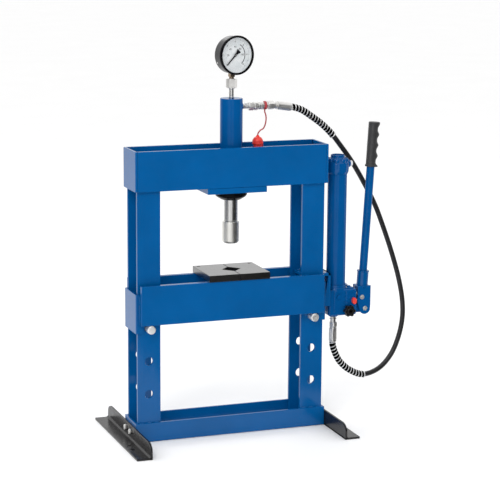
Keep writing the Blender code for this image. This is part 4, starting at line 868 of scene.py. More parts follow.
def make_pump_bracket():
    low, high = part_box("pump_bracket")
    tongue_low = high.z - 0.008
    hang_left = high.x - 0.0074
    gusset_left = span("bed_right_bracket", 0)[1] + 0.0015
    shapes = [
        slab((low.x, low.y, tongue_low), (high.x, high.y, high.z)),
        slab((hang_left, low.y, low.z), (high.x, high.y, high.z)),
    ]
    side = [
        (hang_left + 0.001, tongue_low + 0.002), (gusset_left, low.z + 0.008), (gusset_left, low.z),
        (hang_left + 0.002, low.z), (hang_left + 0.002, tongue_low + 0.002),
    ]
    weld_x = hang_left - 0.001
    for y0, y1 in ((low.y, low.y + 0.005), (high.y - 0.005, high.y)):
        shapes.append(flat([side], "Y", y0, y1, 0.0007))
        y = (y0 + y1) / 2
        shapes.append(weld((weld_x, y, low.z + 0.006), (weld_x, y, tongue_low - 0.02), 0.0022))
    for y in (low.y + 0.004, high.y - 0.004):
        shapes.append(weld((low.x + 0.006, y, high.z), (low.x + 0.04, y, high.z), 0.0025, y))
    show("pump_hanger", shapes, BLUE, "pump_bracket")


# --- bed ---


def make_bed():
    for side in ("front", "rear"):
        low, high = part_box(f"bed_{side}_plate")
        show(f"bed_{side}_beam", slab(low, high, 0.0012, 3), BLUE, f"bed_{side}_plate", "bed")
    plate_low, plate_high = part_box("bed_front_plate")
    wall, rounding, beads = 0.005, 0.003, []
    for side, sign, plate_edge in (("left", -1, plate_low.x), ("right", 1, plate_high.x)):
        low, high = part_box(f"bed_{side}_bracket")
        outer, reach = (low.x, high.x) if sign < 0 else (high.x, low.x)
        half = high.y
        corner = arc((outer - sign * rounding, half - rounding), rounding, 90, 90 - 90 * sign, 5)
        upper = [(outer - sign * wall, half - wall), (reach, half - wall), (reach, half)] + corner
        lower = [(x, -y) for x, y in reversed(upper)]
        shape = flat([upper + lower], "Z", low.z, high.z, 0.001)
        show(f"bed_{side}_saddle", shape, BLUE, f"bed_{side}_bracket", "bed")
        for end in (-1, 1):
            x, y = plate_edge + sign * 0.0006, end * (half + 0.0005)
            beads.append(weld((x, y, plate_low.z + 0.004), (x, y, high.z - 0.004), 0.002, sign * end))
    show("bed_welds", beads, BLUE, body="bed")


def make_bed_pins():
    for side in ("left", "right"):
        low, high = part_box(f"bed_pin_{side}")
        radius = (high.x - low.x) / 2
        centre = ((low.x + high.x) / 2, 0, (low.z + high.z) / 2)
        half = high.y
        profile = [(0, -half), (radius - 0.0024, -half), (radius, 0.0014 - half)]
        profile += [(r, -h) for r, h in reversed(profile)]
        shape = lathe(profile, centre, "Y", 0.0003)
        show(f"pin_{side}_bar", shape, PIN_STEEL, f"bed_pin_{side}", f"{side}_bed_pin")


SPLIT_EASE = 0.0004  # rounded back from the joint between the plates


def make_press_plates():
    for side, sign in (("left", -1), ("right", 1)):
        low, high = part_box(f"press_plate_{side}")
        split = (high.x if sign < 0 else low.x) + sign * SPLIT_EASE
        outer = low.x if sign < 0 else high.x
        y0, y1 = low.y, high.y
        notch = [(split, -0.027), (split + sign * 0.0245, 0.0), (split, 0.027)]
        outline = [(outer, y0), (split, y0)] + notch + [(split, y1), (outer, y1)]
        hole = circle((outer - sign * 0.012, y1 - 0.012), 0.004, 32)
        shape = flat([outline, hole], "Z", low.z, high.z, 0.001)
        body = f"{side}_press_plate"
        show(f"anvil_plate_{side}", shape, OXIDE, f"press_plate_{side}", body)


# --- cylinder ---


def make_cylinder():
    at = (RAM_X, 0, 0)
    low, high = span("cylinder_barrel", 2)
    bore, floor = 0.024, high - 0.012
    profile = [
        (bore, low), (BARREL_RADIUS, low), (BARREL_RADIUS, high), (0.0085, high), (0.008, high - 0.0012),
        (0, high - 0.0012), (0, floor), (bore, floor), (bore, low),
    ]
    barrel = lathe(profile, at, soft=0.0014, sides=96)
    boss = rod(0.0098, 0.027, 0.0287, (RAM_X, 0, PORT_Z), "X", 0.0005)
    show("barrel_casing", [barrel, boss], PUMP_BLUE, "cylinder_barrel")
    low, high = span("lock_ring", 2)
    shoulder, ledge, rim, inner = high - 0.0097, low + 0.0096, 0.0405, 0.0184
    ring = [
        (inner, low), (0.025, low), (0.0375, shoulder - 0.004), (rim, shoulder), (rim, high),
        (PLATE_BORE, high), (PLATE_BORE, ledge), (inner, ledge),
    ]
    wiper = ring_of(0.0182, 0.0212, low - 0.0003, low + 0.002, at, "Z", 0.0005)
    knurl = []
    for angle in turns(60):
        tooth = slab((-0.0006, -0.0006, shoulder + 0.001), (0.0006, 0.0006, high - 0.0006), 0.0003, 1)
        place = Matrix.Translation((RAM_X + 0.0402 * cos(angle), 0.0402 * sin(angle), 0))
        knurl.append(moved(tooth, place @ Matrix.Rotation(angle, 4, "Z")))
    shapes = [lathe(ring, at, soft=0.0012, closed=True, sides=96), wiper, *knurl]
    show("gland_ring", shapes, RING_BLACK, "lock_ring")
    low, high = span("ram", 2)
    nose_low, nose_high = span("ram_nose", 2)
    spigot, radius, piston, groove = 0.012, 0.018, 0.0235, 0.0222
    seat, piston_low = nose_high + GAP, high - 0.025
    ram = [
        (0, low), (spigot, low), (spigot, seat), (0.0164, seat), (0.0164, nose_high + 0.0024),
        (radius, nose_high + 0.003), (radius, piston_low), (piston, piston_low),
        (piston, high - 0.016), (groove, high - 0.016), (groove, high - 0.011),
        (piston, high - 0.011), (piston, high), (0, high),
    ]
    show("ram_rod", lathe(ram, at, soft=0.0005, sides=96), RAM_STEEL, "ram", "ram")
    socket, socket_low, nose_radius = spigot + GAP, nose_high - 0.0153, 0.0218
    nose = [
        (0, nose_low + 0.0008), (0.004, nose_low + 0.0008), (0.0044, nose_low), (0.0168, nose_low),
        (nose_radius, nose_low + 0.005), (nose_radius, nose_high - 0.0012), (0.0208, nose_high),
        (socket, nose_high), (socket, socket_low), (0, socket_low),
    ]
    show("ram_foot", lathe(nose, at, soft=0.0016, sides=96), NOSE_STEEL, "ram_nose", "ram")


def make_spring():
    """The coil inside the barrel that lifts the ram; hidden, but real."""
    low, high = span("return_spring", 2)
    wire, radius, coils, steps = 0.0014, 0.022, 5, 40
    rise = high - low - 2 * wire
    points = []
    for i in range(coils * steps + 1):
        angle = 2 * pi * i / steps
        height = low + wire + rise * i / (coils * steps)
        points.append((RAM_X + radius * cos(angle), radius * sin(angle), height))
    show("lift_spring", sweep(points, wire, 10), COIL_STEEL, "return_spring")


# --- port, coupler and hose ends ---


def thread(radius, low, high, pitch, depth, centre, axis):
    """Turned ridges that stand for a thread."""
    profile = [(0, low)]
    count = int((high - low) / pitch)
    for i in range(count):
        z = low + i * pitch
        valley = radius - depth
        profile += [(valley, z + 0.1 * pitch), (radius, z + 0.5 * pitch), (valley, z + 0.9 * pitch)]
    profile.append((0, high))
    return lathe(profile, centre, axis, 0, sides=48)


def make_coupling():
    at = (0, 0, PORT_Z)
    low, high = span("port_nipple", 0)
    seat = RAM_X + BARREL_RADIUS + GAP
    shapes = [
        rod(0.0036, low, seat, at, "X"),
        rod(0.007, seat, seat + 0.005, at, "X"),
        thread(0.0072, seat + 0.005, high - 0.001, 0.0013, 0.0006, at, "X"),
        rod(0.0062, high - 0.002, high, at, "X"),
    ]
    show("nipple_turned", shapes, ZINC_X, "port_nipple")
    low, high = span("coupler_socket", 0)
    hex_end = low + 0.024
    collar_end = hex_end + 0.0155
    collar = [
        (0, hex_end), (0.009, hex_end), (0.009, hex_end + 0.002), (0.0105, hex_end + 0.0025),
        (0.0105, hex_end + 0.006), (0.0097, hex_end + 0.0065), (0.0097, hex_end + 0.0085),
        (0.0105, hex_end + 0.009), (0.0105, collar_end - 0.001), (0.009, collar_end),
        (0.0076, collar_end), (0.0076, high), (0, high),
    ]
    shapes = [
        hexagon_bar(0.0214, low, low + 0.013, at, "X", 10, 0.0015),
        rod(0.0098, low + 0.012, low + 0.015, at, "X"),
        hexagon_bar(0.021, low + 0.0148, hex_end, at, "X", 25, 0.0012),
        lathe(collar, at, "X", 0.0004),
    ]
    show("coupler_body", shapes, ZINC_X, "coupler_socket")
    low, high = span("strap_ring", 0)
    band = ring_of(0.0079, 0.0108, low + 0.0015, high - 0.0015, at, "X", 0.0009, 48)
    lug = slab((low + 0.0022, -0.0022, RING_LOW), (high - 0.0022, 0.0022, RING_LOW + 0.004), 0.001, 2)
    show("strap_collar", [band, lug], STRAP_RED, "strap_ring")
    make_upper_end(at)
    make_lower_end()


def crimped(low, high, radius, centre, axis):
    """A ferrule pressed in a die: long flats round it, with round ends."""
    flats, depth = 8, 0.0007
    marks = ((0, 0), (0.02, 0), (0.08, 0), (0.11, 1), (0.5, 1), (0.86, 1), (0.9, 0), (0.97, 0), (1, 0))
    levels = [
        (low + share * (high - low), pressed, 0.0008 if share in (0, 1) else 0.0)
        for share, pressed in marks
    ]

    def reach(level, angle):
        _, pressed, eased = level
        groove = (0.5 + 0.5 * cos(angle * flats)) ** 6
        return radius - eased - pressed * depth * groove - 0.0002 * pressed

    return stood(ringed(levels, flats * 8, reach), axis, centre)


def make_upper_end(at):
    low = span("hose_end_upper", 0)[0]
    nut_end = low + 0.0205
    neck_end = nut_end + 0.0058 - TAIL_X
    origin = (0, 0, 0)
    droop = Matrix.Translation((TAIL_X, 0, PORT_Z)) @ Matrix.Rotation(TAIL_BEND, 4, "Y")
    tail = [
        rod(0.0078, 0.0, neck_end + 0.001, origin, "X"),
        ring_of(0.007, 0.0094, neck_end - 0.0042, neck_end - 0.0018, origin, "X", 0.0005),
        crimped(neck_end, TAIL_LENGTH, 0.011, origin, "X"),
    ]
    tail = [moved(shape, droop) for shape in tail]
    nut = hexagon_bar(0.0208, low, nut_end - 0.004, at, "X", 40, 0.0014)
    step = rod(0.0094, nut_end - 0.0045, nut_end, at, "X")
    show("hose_ferrule_upper", [nut, step, *tail], ZINC_X, "hose_end_upper")


def make_lower_end():
    low, high = span("hose_end_lower", 2)
    at = (OUTLET_X, 0, 0)
    neck = high - 0.015
    shapes = [
        rod(0.0078, neck - 0.001, high, at, sides=48),
        ring_of(0.007, 0.0096, high - 0.0075, high - 0.0045, at, "Z"),
        hexagon_bar(0.02, neck - 0.013, neck, at, "Z", 20, 0.0015),
        rod(0.0088, neck - 0.016, neck - 0.012, at, sides=48),
        crimped(low, neck - 0.015, 0.011, at, "Z"),
    ]
    show("hose_ferrule_lower", shapes, ZINC_Z, "hose_end_lower")


# --- gauge ---

NUT_TURN = 46
GAUGE_AT = Vector((RAM_X, 0, DIAL.z))
DIAL_FACE = -0.016  # the dial's printed side, in front of the stem's axis
PRINT_FACE = DIAL_FACE - 0.00008  # the ticks lie just in front of the dial, and the numbers before them
DIAL_RADIUS = 0.0435
ZERO_ANGLE = 225
FULL_TURN = 270


def make_gauge_foot():
    at = (RAM_X, 0, 0)
    low, high = span("gauge_adapter", 2)
    nut_low = high - 0.0235
    pipe = [
        (0, low), (0.007, low), (0.007, low + 0.004), (0.0063, low + 0.0045), (0.0063, nut_low - 0.003),
        (0.0069, nut_low - 0.0025), (0.0069, nut_low), (0, nut_low),
    ]
    shapes = [lathe(pipe, at, soft=0.0003), hexagon_bar(0.0245, nut_low, high, at, "Z", NUT_TURN, 0.0018)]
    show("gauge_union", shapes, ZINC_Z, "gauge_adapter")
    low, high = span("gauge_stem", 2)
    half = 0.0064
    square = slab((RAM_X - half, -half, low + 0.004), (RAM_X + half, half, high), 0.001, 2)
    collar = rod(0.0062, low, low + 0.005, at)
    turn = Matrix.Translation(at) @ Matrix.Rotation(DIAL_TURN, 4, "Z") @ Matrix.Translation(-Vector(at))
    show("gauge_shank", [moved(shape, turn) for shape in (square, collar)], BRASS, "gauge_stem")


def facing(shapes):
    """Shapes built about the dial's centre facing -Y, put in place on the gauge."""
    turn = Matrix.Translation(GAUGE_AT) @ Matrix.Rotation(DIAL_TURN, 4, "Z")
    return [moved(shape, turn) for shape in shapes]


def make_gauge():
    case = [
        (0, 0.01), (0.03, 0.01), (0.0305, 0.0088), (0.032, 0.0088), (0.0325, 0.01),
        (0.0425, 0.01), (0.0465, 0.006), (0.0465, -0.017), (0.0472, -0.0176), (0.0472, -0.0198),
        (0.0445, -0.02), (0.0445, 0.008), (0, 0.008),
    ]
    plug = lathe([(0, 0.0), (0.002, 0.0), (0.0017, 0.001), (0, 0.0012)], (0, 0, 0), "X", 0.0003)
    turn = Matrix.Rotation(radians(-24), 4, "Y") @ Matrix.Rotation(radians(180), 4, "Z")
    moved(plug, turn @ Matrix.Translation((0.0462, 0.002, 0)))
    shapes = facing([lathe(case, axis="Y", soft=0.0018, sides=96)])
    show("gauge_can", shapes, CASE_BLACK, "gauge_case")
    show("gauge_relief_plug", facing([plug]), NOSE_STEEL)
    bezel = [
        (0.0446, -0.0203), (0.049, -0.0203), (0.049, -0.0262), (0.0474, -0.0288), (0.0452, -0.0288),
        (0.0436, -0.0262), (0.0436, -0.0249), (0.0446, -0.0249),
    ]
    shapes = facing([lathe(bezel, axis="Y", soft=0.0014, closed=True, sides=128)])
    show("gauge_rim", shapes, RING_BLACK, "gauge_bezel")
    lens = facing([rod(0.044, -0.0246, -0.0228, axis="Y", soft=0.0004, sides=96)])
    show("gauge_window", lens, LENS_GLASS, "gauge_lens")
    dial = ring_of(0.0017, DIAL_RADIUS, DIAL_FACE, DIAL_FACE + 0.001, (0, 0, 0), "Y", 0.0002, 96)
    dish = ring_of(0.0432, 0.0443, -0.0226, DIAL_FACE + 0.001, (0, 0, 0), "Y", 0.0001, 96)
    show("gauge_face", facing([dial, dish]), DIAL_WHITE, "gauge_dial")
    make_scale()
    make_needle()


def tick(angle, inner, outer, width):
    """A printed line on the dial, at an angle counter-clockwise from its right."""
    shape = bmesh.new()
    turn = radians(angle)
    out = Vector((cos(turn), 0, sin(turn)))
    across = Vector((-sin(turn), 0, cos(turn))) * width / 2
    front = Vector((0, PRINT_FACE, 0))
    corners = [out * inner - across, out * outer - across, out * outer + across, out * inner + across]
    shape.faces.new([shape.verts.new(front + c) for c in corners])
    return shape


def band(inner, outer, start, end, steps):
    """A printed arc on the dial."""
    shape = bmesh.new()
    pairs = []
    for i in range(steps + 1):
        turn = radians(start + (end - start) * i / steps)
        pairs.append([
            shape.verts.new((r * cos(turn), PRINT_FACE, r * sin(turn))) for r in (inner, outer)
        ])
    for a, b in zip(pairs, pairs[1:]):
        shape.faces.new((a[0], a[1], b[1], b[0]))
    return shape


def numeral(text, x, z, size):
    """A plain number in Blender's own lettering, as a flat mesh on the dial."""
    curve = bpy.data.curves.new("numeral", "FONT")
    curve.body = text
    curve.size = size
    curve.align_x = "CENTER"
    curve.align_y = "CENTER"
    holder = link_new("numeral", curve)
    bpy.context.view_layer.update()
    mesh = bpy.data.meshes.new_from_object(holder.evaluated_get(bpy.context.evaluated_depsgraph_get()))
    shape = bmesh.new()
    shape.from_mesh(mesh)
    bpy.data.objects.remove(holder)
    bpy.data.meshes.remove(mesh)
    stand = Matrix.Translation((x, PRINT_FACE - 0.00002, z)) @ Matrix.Rotation(pi / 2, 4, "X")
    return moved(shape, stand)


def make_scale():
    """Two plain scales: fine ticks at the rim with their numbers, and an inner arc with its own."""
    bold, fine = [], []
    rim_ticks, arc_ticks, number_steps = 60, 30, 6
    for i in range(rim_ticks + 1):
        angle = ZERO_ANGLE - FULL_TURN * i / rim_ticks
        inner = 0.037 if i % 10 == 0 else 0.038 if i % 5 == 0 else 0.0392
        fine.append(tick(angle, inner, 0.0412, 0.0006 if i % 5 == 0 else 0.0004))
    rim_numbers, arc_numbers = 0.0332, 0.0205
    for i in range(number_steps + 1):
        turn = radians(ZERO_ANGLE - FULL_TURN * i / number_steps)
        bold.append(numeral(str(2 * i), rim_numbers * cos(turn), rim_numbers * sin(turn), 0.006))
        if 0 < i < number_steps:
            bold.append(numeral(str(20 * i), arc_numbers * cos(turn), arc_numbers * sin(turn), 0.0068))
    for i in range(arc_ticks + 1):
        angle = ZERO_ANGLE - FULL_TURN * i / arc_ticks
        fine.append(tick(angle, 0.0262 if i % 5 == 0 else 0.027, 0.0279, 0.0004))
    bold.append(band(0.0277, 0.0295, -49, 62, 60))
    show("scale_bold", facing(bold), INK)
    show("scale_fine", facing(fine), SCALE_GREY)


def make_needle():
    turn = radians(ZERO_ANGLE)
    front = DIAL_FACE - 0.0026

    def flat_arrow(half):
        outline = half + [(x, -z) for x, z in reversed(half)]
        rotated = [(x * cos(turn) - z * sin(turn), x * sin(turn) + z * cos(turn)) for x, z in outline]
        return flat([rotated], "Y", front, front + 0.0006, 0)

    pointer = flat_arrow([(-0.004, -0.002), (0.0, -0.002), (0.0345, -0.0011)])
    tail = flat_arrow([(-0.015, -0.006), (-0.014, -0.0064), (-0.0036, -0.0022)])
    hub = rod(0.0033, front - 0.0007, front + 0.001, axis="Y", soft=0.0004, sides=32)
    shaft = rod(0.0012, front, -0.0112, axis="Y", soft=0.0, sides=16)
    shapes = facing([pointer, tail, hub, shaft])
    show("needle_pointer", shapes, INK, "gauge_needle", "gauge_needle")
    cap = facing([rod(0.0016, front - 0.001, front - 0.0006, axis="Y", soft=0.0002, sides=24)])
    show("needle_cap", cap, PIN_STEEL, body="gauge_needle")


def make_bourdon():
    points = [(0.026 * cos(radians(t)), -0.002, 0.026 * sin(radians(t))) for t in range(-92, 196, 5)]
    shapes = facing([sweep(points, 0.0028, 12)])
    show("pressure_tube", shapes, BRASS, "bourdon_tube")


# --- hand pump ---


def make_pump_body():
    low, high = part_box("pump_body")
    right = TUBE_X + 0.05
    bottom, top, tube_seat = low.z + 0.0055, 0.352, 0.3557
    at = (TUBE_X, 0, 0)
    block = slab((low.x, -0.026, bottom), (right, 0.026, top), 0.0048, 4)
    neck = [
        (0, top - 0.008), (0.0278, top - 0.008), (0.0278, top + 0.0035), (0.0268, top + 0.0045),
        (0.0268, top + 0.006), (0.0278, top + 0.007), (0.0278, high.z), (0.0253, high.z),
        (0.0253, tube_seat), (0, tube_seat),
    ]
    spout = [
        (0, low.z), (0.0118, low.z), (0.0135, low.z + 0.002), (0.0135, bottom + 0.006),
        (0, bottom + 0.006),
    ]
    outlet = lathe(spout, (OUTLET_X, 0, 0), soft=0.0008)
    inside, outside = TUBE_X + 0.02, right + 0.0045
    nut = [
        (0, inside), (0.015, inside), (0.015, right + 0.002), (0.014, outside), (0.009, outside),
        (0.0074, outside - 0.001), (0.0074, outside - 0.006), (0, outside - 0.006),
    ]
    gland = lathe(nut, (0, 0, PLUNGER_PIN.z), "X", 0.0008)
    pivot, eye, root = (FULCRUM.x, FULCRUM.z), 0.011, right - 0.004
    lug = [(root, FULCRUM.z - eye)] + arc(pivot, eye, -90, 90, 14) + [(root, FULCRUM.z + eye)]
    ear = flat([lug, circle(pivot, 0.0044, 28)], "Y", -eye, eye, 0.001)
    ribs = []
    for x in (TUBE_X - 0.012, TUBE_X + 0.0215):
        for y0, y1 in ((-0.0278, -0.022), (0.022, 0.0278)):
            ribs.append(slab((x - 0.003, y0, bottom + 0.01), (x + 0.003, y1, top - 0.004), 0.0016, 3))
    for i in range(3):
        rib = slab((-0.019, -0.0274, -0.0012), (0.019, -0.024, 0.0012), 0.001, 2)
        place = Matrix.Translation((TUBE_X + 0.03, 0, top - 0.036 + 0.0125 * i))
        ribs.append(moved(rib, place @ Matrix.Rotation(radians(-24), 4, "Y")))
    web = slab((TUBE_X + 0.018, -0.02, top - 0.004), (TUBE_X + 0.044, 0.02, top + 0.0035), 0.0028, 3)
    knob, relief = middle("release_knob"), middle("relief_valve_cap")
    boss = rod(0.0105, -0.0272, -0.02, (knob.x, 0, knob.z), "Y", 0.001)
    valve = rod(0.0088, -0.0262, -0.02, (relief.x, 0, relief.z), "Y", 0.0)
    shapes = [block, lathe(neck, at, soft=0.0008, sides=72), outlet, gland, ear, web, boss, valve, *ribs]
    show("pump_casting", shapes, CASTING, "pump_body")
    make_pump_screws(top)


def make_pump_screws(top):
    """Cap screws that hold the casting to its bracket, and the plug over the check valve."""
    x, z = TUBE_X + 0.032, top + 0.003
    screws = [hexagon_bar(0.009, z, z + 0.0045, (x, y, 0), "Z", 15, 0.0008) for y in (0.012, -0.012)]
    show("pump_screws", screws, CASTING)
    plug = hexagon_bar(0.011, -0.0295, -0.0255, (TUBE_X - 0.0015, 0, 0.333), "Y", 5, 0.001)
    show("check_valve_plug", plug, CASTING)


def lump(at, radius, height, azimuth, size):
    """A rounded boss on a turned casting, at a radius and an azimuth in degrees about its axis."""
    shape = bmesh.new()
    bmesh.ops.create_uvsphere(shape, u_segments=20, v_segments=12, radius=1)
    turn = Matrix.Rotation(radians(azimuth), 4, "Z")
    place = Matrix.Translation((at[0], at[1], 0)) @ turn @ Matrix.Translation((radius, 0, height))
    return moved(shape, place @ Matrix.Diagonal((*size, 1)))


def make_reservoir():
    at = (TUBE_X, 0, 0)
    tube_low, tube_top = span("reservoir_tube", 2)
    tube = ring_of(0.0225, 0.025, tube_low, tube_top, at, "Z", 0.0005, 96)
    bead = ring_of(0.0248, 0.0259, 0.364, 0.3668, at, "Z", 0.0006, 96)
    show("reservoir_pipe", [tube, bead], PUMP_BLUE, "reservoir_tube")
    base, top = span("reservoir_cap", 2)
    profile = [
        (0.0253, base), (0.0264, base), (0.0288, base + 0.006), (0.0294, base + 0.015),
        (0.029, top - 0.0215), (0.0205, top - 0.0085), (0.0184, top - 0.0065), (0.0181, top),
        (0.0152, top), (0.0146, top - 0.006), (0, top - 0.006), (0, tube_top + GAP),
        (0.0253, tube_top + GAP),
    ]
    shapes = [lathe(profile, at, soft=0.0016, closed=True, sides=72)]
    for i in range(8):
        shapes.append(lump(at, 0.0225, top - 0.0145, 240 + 45 * i, (0.0062, 0.008, 0.007)))
    plug_z = middle("filler_plug").z
    shapes.append(rod(0.01, 0.016, 0.0335, (TUBE_X, 0, plug_z), "X", 0.0012))
    shapes.append(hexagon_bar(0.013, top - 0.0062, top - 0.0025, at, "Z", 0, 0.0008))
    show("reservoir_crown", shapes, CASTING, "reservoir_cap")
    low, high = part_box("filler_plug")
    face = TUBE_X + 0.0338
    plug = [
        (0, low.x), (0.0038, low.x), (0.0038, face), (0.0075, face), (0.0075, high.x - 0.0016),
        (0.0064, high.x), (0.0032, high.x), (0.003, high.x - 0.0015), (0, high.x - 0.0015),
    ]
    shapes = [lathe(plug, (0, 0, plug_z), "X", 0.0004, sides=48)]
    show("oil_plug", shapes, WHITE, "filler_plug", "filler_plug")


def make_plunger():
    low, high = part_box("plunger")
    z = PLUNGER_PIN.z
    end = PLUNGER_PIN.x
    bar = rod(0.007, low.x, end - 0.006, (0, 0, z), "X", 0.0006)
    top, bottom = high.z, low.z
    eye = box_outline((end - 0.009, bottom), (end + 0.009, top), 0.0055, 6)
    slot_low, slot_high = z - 0.005, z + 0.002
    slot = arc((end, slot_high), 0.0048, 0, 180, 10) + arc((end, slot_low), 0.0048, 180, 360, 10)
    head = flat([eye, slot], "Y", -0.0075, 0.0075, 0.0008)
    show("plunger_rod", [bar, head], RAM_STEEL, "plunger", "pump_plunger")


PIN_HOLE = 0.0043
LEVER_TILT = radians(3.2)
LEVER_FOOT = Vector((FULCRUM.x - 0.0054, 0, FULCRUM.z))


def leaning(shapes):
    """Shapes built up the Z axis from the origin, put on the lever's own line."""
    turn = Matrix.Translation(LEVER_FOOT) @ Matrix.Rotation(LEVER_TILT, 4, "Y")
    return [moved(shape, turn) for shape in shapes]


def make_handle():
    x, z = FULCRUM.x, FULCRUM.z
    near, far, top = x - 0.0211, x + 0.0158, z + 0.06
    outline = arc((x, z), 0.0158, -148, -22, 12)
    outline += [(far, z + 0.01), (far, top), (near, top), (near, z + 0.014)]
    holes = [circle((pin.x, pin.z), PIN_HOLE, 28) for pin in (FULCRUM, PLUNGER_PIN)]
    sides = ((-0.017, -0.012), (0.012, 0.017))
    cheeks = [flat([outline, *holes], "Y", *pair, 0.0012, 3) for pair in sides]
    bridge = slab((x - 0.0205, -0.0165, z + 0.05), (x + 0.0152, 0.0165, z + 0.0595), 0.0015, 3)
    socket = [
        (0.0108, 0.064), (0.0108, 0.0985), (0.0163, 0.0985), (0.0165, 0.0957), (0.015, 0.0953),
        (0.015, 0.0565), (0.0182, 0.0535), (0.01, 0.0535), (0.01, 0.064),
    ]
    collar = leaning([lathe(socket, soft=0.0006, closed=True, sides=64)])
    run = leaning([ring_weld(0, 0, 0.0566, 0.0168, 0.0018, 0.12, 26, 60, 8)])
    show("handle_clevis", [*cheeks, bridge, *collar, *run], CASTING, "handle_yoke", "pump_handle")
    tube = leaning([rod(0.0105, 0.064, 0.479, sides=64, soft=0.0008)])
    show("handle_pipe", tube, PUMP_BLUE, "handle_tube", "pump_handle")
    make_link_pins()
    make_grip()


def make_link_pins():
    for node, body in (("fulcrum_pin", FRAME_BODY), ("plunger_pin", "pump_handle")):
        centre = middle(node)
        at = (centre.x, 0, centre.z)
        half = 0.0195
        profile = [
            (0, -half), (0.0036, -half), (0.004, 0.0006 - half), (0.004, 0.0183), (0.0034, half), (0, half),
        ]
        shapes = [lathe(profile, at, "Y", 0.0003, sides=40)]
        for y in (-0.0183, 0.0173):
            shapes.append(ring_of(0.0034, 0.0062, y, y + 0.001, at, "Y", 0.0002, 40))
        show(f"{node}_clipped", shapes, PIN_STEEL, node, body, "zinc_plate")


def make_grip():
    """A rubber sleeve: a flange below, finger hollows on the outer side, fine rings, and a flat top."""
    start, length, radius = 0.3725, 0.1155, 0.0131
    sides, rows = 64, 220

    def reach(level, angle):
        share = level[1]
        flange = 0.0017 * max(0.0, 1 - (max(0.0, share - 0.035) / 0.012)) if share < 0.047 else 0.0
        outward = max(0.0, cos(angle)) ** 1.6
        wave = 0.5 - 0.5 * cos(2 * pi * 4 * min(1.0, share / 0.96))
        bumps = (1 - wave) ** 1.6
        grooves = 0.0036 * outward * bumps - 0.001 * outward * (1 - bumps)
        lines = 0.00018 * sin(share * length / 0.0017 * 2 * pi) if 0.08 < share < 0.93 else 0.0
        edge = 0.0016 * max(0.0, (share - 0.985) / 0.015) ** 2
        return radius + flange + grooves + lines - edge

    levels = [(start + i / rows * length, i / rows) for i in range(rows + 1)]
    sleeve = face_out(ringed(levels, sides, reach))
    show("grip_sleeve", leaning([sleeve]), GRIP, "handle_grip", "pump_handle", sharp=40)


def make_valves():
    low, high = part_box("release_knob")
    centre = middle("release_knob")
    front, back = low.y, low.y + 0.016
    at = (centre.x, 0, centre.z)
    lobes, outline = 6, []
    for angle in turns(96):
        radius = 0.014 + 0.0016 * cos(lobes * angle)
        outline.append((centre.x + radius * cos(angle), centre.z + radius * sin(angle)))
    head = flat([outline], "Y", front + 0.0015, back, 0.0018, 4)
    profile = [(0, front), (0.007, front), (0.01, front + 0.003), (0, front + 0.003)]
    crown = lathe(profile, at, "Y", 0.0008)
    stub = rod(0.0068, back - 0.001, back + 0.0035, at, "Y", 0.0006)
    show("knob_head", [head, crown, stub], KNOB, "release_knob", "release_knob")
    stem = rod(0.0045, back, high.y, at, "Y", 0.0004)
    insert = rod(0.0035, front, front + 0.0004, at, "Y", 0.0001)
    show("knob_spindle", [stem, insert], BRASS, body="release_knob")
    low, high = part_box("relief_valve_cap")
    centre = middle("relief_valve_cap")
    outline = arc((centre.x, centre.z + 0.0024), 0.006, 0, 180, 14)
    outline += arc((centre.x, centre.z - 0.0024), 0.006, 180, 360, 14)
    shape = flat([outline], "Y", low.y, high.y, 0.0016, 4)
    show("relief_cap_moulding", shape, RED, "relief_valve_cap")


# --- studio ---


def staged(name, shape, specular, grain, dark, light):
    """A staging surface with a fine, faint texture."""
    mesh = bpy.data.meshes.new(name)
    shape.to_mesh(mesh)
    shape.free()
    made = link_new(name, mesh)
    look = Surface(f"{name}_surface", None, 0.9, Specular_IOR_Level=specular)
    look.colour(look.colours(look.noise(grain, grain), dark, light))
    mesh.materials.append(look.material)
    return made


def make_floor(reach, white):
    shape = bmesh.new()
    corners = ((-reach, -reach), (reach, -reach), (reach, reach), (-reach, reach))
    shape.faces.new([shape.verts.new((x, y, 0)) for x, y in corners])
    colour = (white,) * 3
    staged("floor", shape, 0.1, 3, shade(colour, 0.985), colour)


def card_point(azimuth, distance, height):
    turn = radians(azimuth)
    return Vector((SHIFT + sin(turn) * distance, -cos(turn) * distance, height))


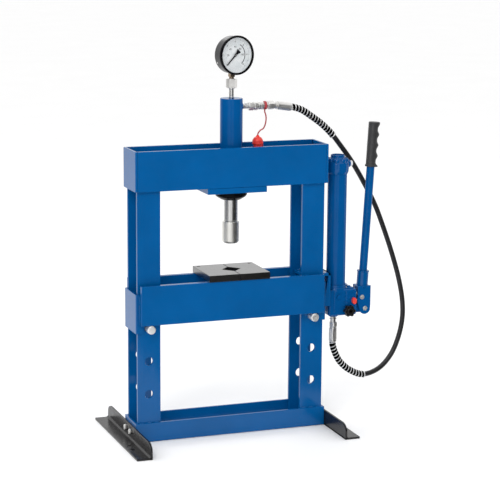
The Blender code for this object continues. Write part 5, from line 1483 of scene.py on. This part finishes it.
def card(name, azimuths, ends, grey):
    """A grey card on an arc round the press, seen only in reflections.

    Azimuth 0 is straight in front, positive to the right. Each edge has a distance and a height.
    """
    shape = bmesh.new()
    steps = 8
    angles = [azimuths[0] + (azimuths[1] - azimuths[0]) * i / steps for i in range(steps + 1)]
    pairs = [[shape.verts.new(card_point(turn, distance, z)) for distance, z in ends] for turn in angles]
    for a, b in zip(pairs, pairs[1:]):
        shape.faces.new((a[0], b[0], b[1], a[1]))
    made = staged(name, shape, 0.0, 2, (grey,) * 3, (grey * 1.1,) * 3)
    made.visible_camera = False
    made.visible_diffuse = False
    made.visible_shadow = False
    made.visible_transmission = False


def soft_box(name, at, target, size, watts):
    data = bpy.data.lights.new(name, "AREA")
    data.shape = "RECTANGLE"
    data.size, data.size_y = size
    data.energy = watts
    lamp = link_new(name, data)
    lamp.location = at
    lamp.rotation_euler = (Vector(target) - Vector(at)).to_track_quat("-Z", "Y").to_euler()


def add_studio():
    scene = bpy.context.scene
    scene.view_settings.view_transform = "Standard"
    scene.world = bpy.data.worlds.new("studio")
    scene.world.use_nodes = True
    background = scene.world.node_tree.nodes["Background"]
    background.inputs["Color"].default_value = (1, 1, 1, 1)
    background.inputs["Strength"].default_value = 1.0
    make_floor(40, 0.995)
    low, top = 0.004, 2.6
    card("card_left", (-125, -57), ((2.4, low), (2.4, top)), 0.02)
    card("card_right", (4, 80), ((2.4, low), (2.4, top)), 0.02)
    card("card_middle", (-24, -17), ((2.6, low), (2.6, top)), 0.08)
    card("card_floor", (0, 80), ((0.5, low), (2.4, low)), 0.02)
    soft_box("key", (-2.2, -3.0, 3.6), (0, 0, 0.5), (1.6, 1.6), 60)
    soft_box("back", (0.4, 3.0, 3.0), (0, 0, 0.5), (2.0, 1.2), 20)


def main():
    add_camera()
    make_hose()
    make_strap()
    make_head()
    make_uprights()
    make_base()
    make_feet()
    make_pump_bracket()
    make_bed()
    make_bed_pins()
    make_press_plates()
    make_cylinder()
    make_spring()
    make_coupling()
    make_gauge_foot()
    make_gauge()
    make_bourdon()
    make_pump_body()
    make_reservoir()
    make_plunger()
    make_handle()
    make_valves()
    add_studio()


main()
bpy.context.view_layer.update()
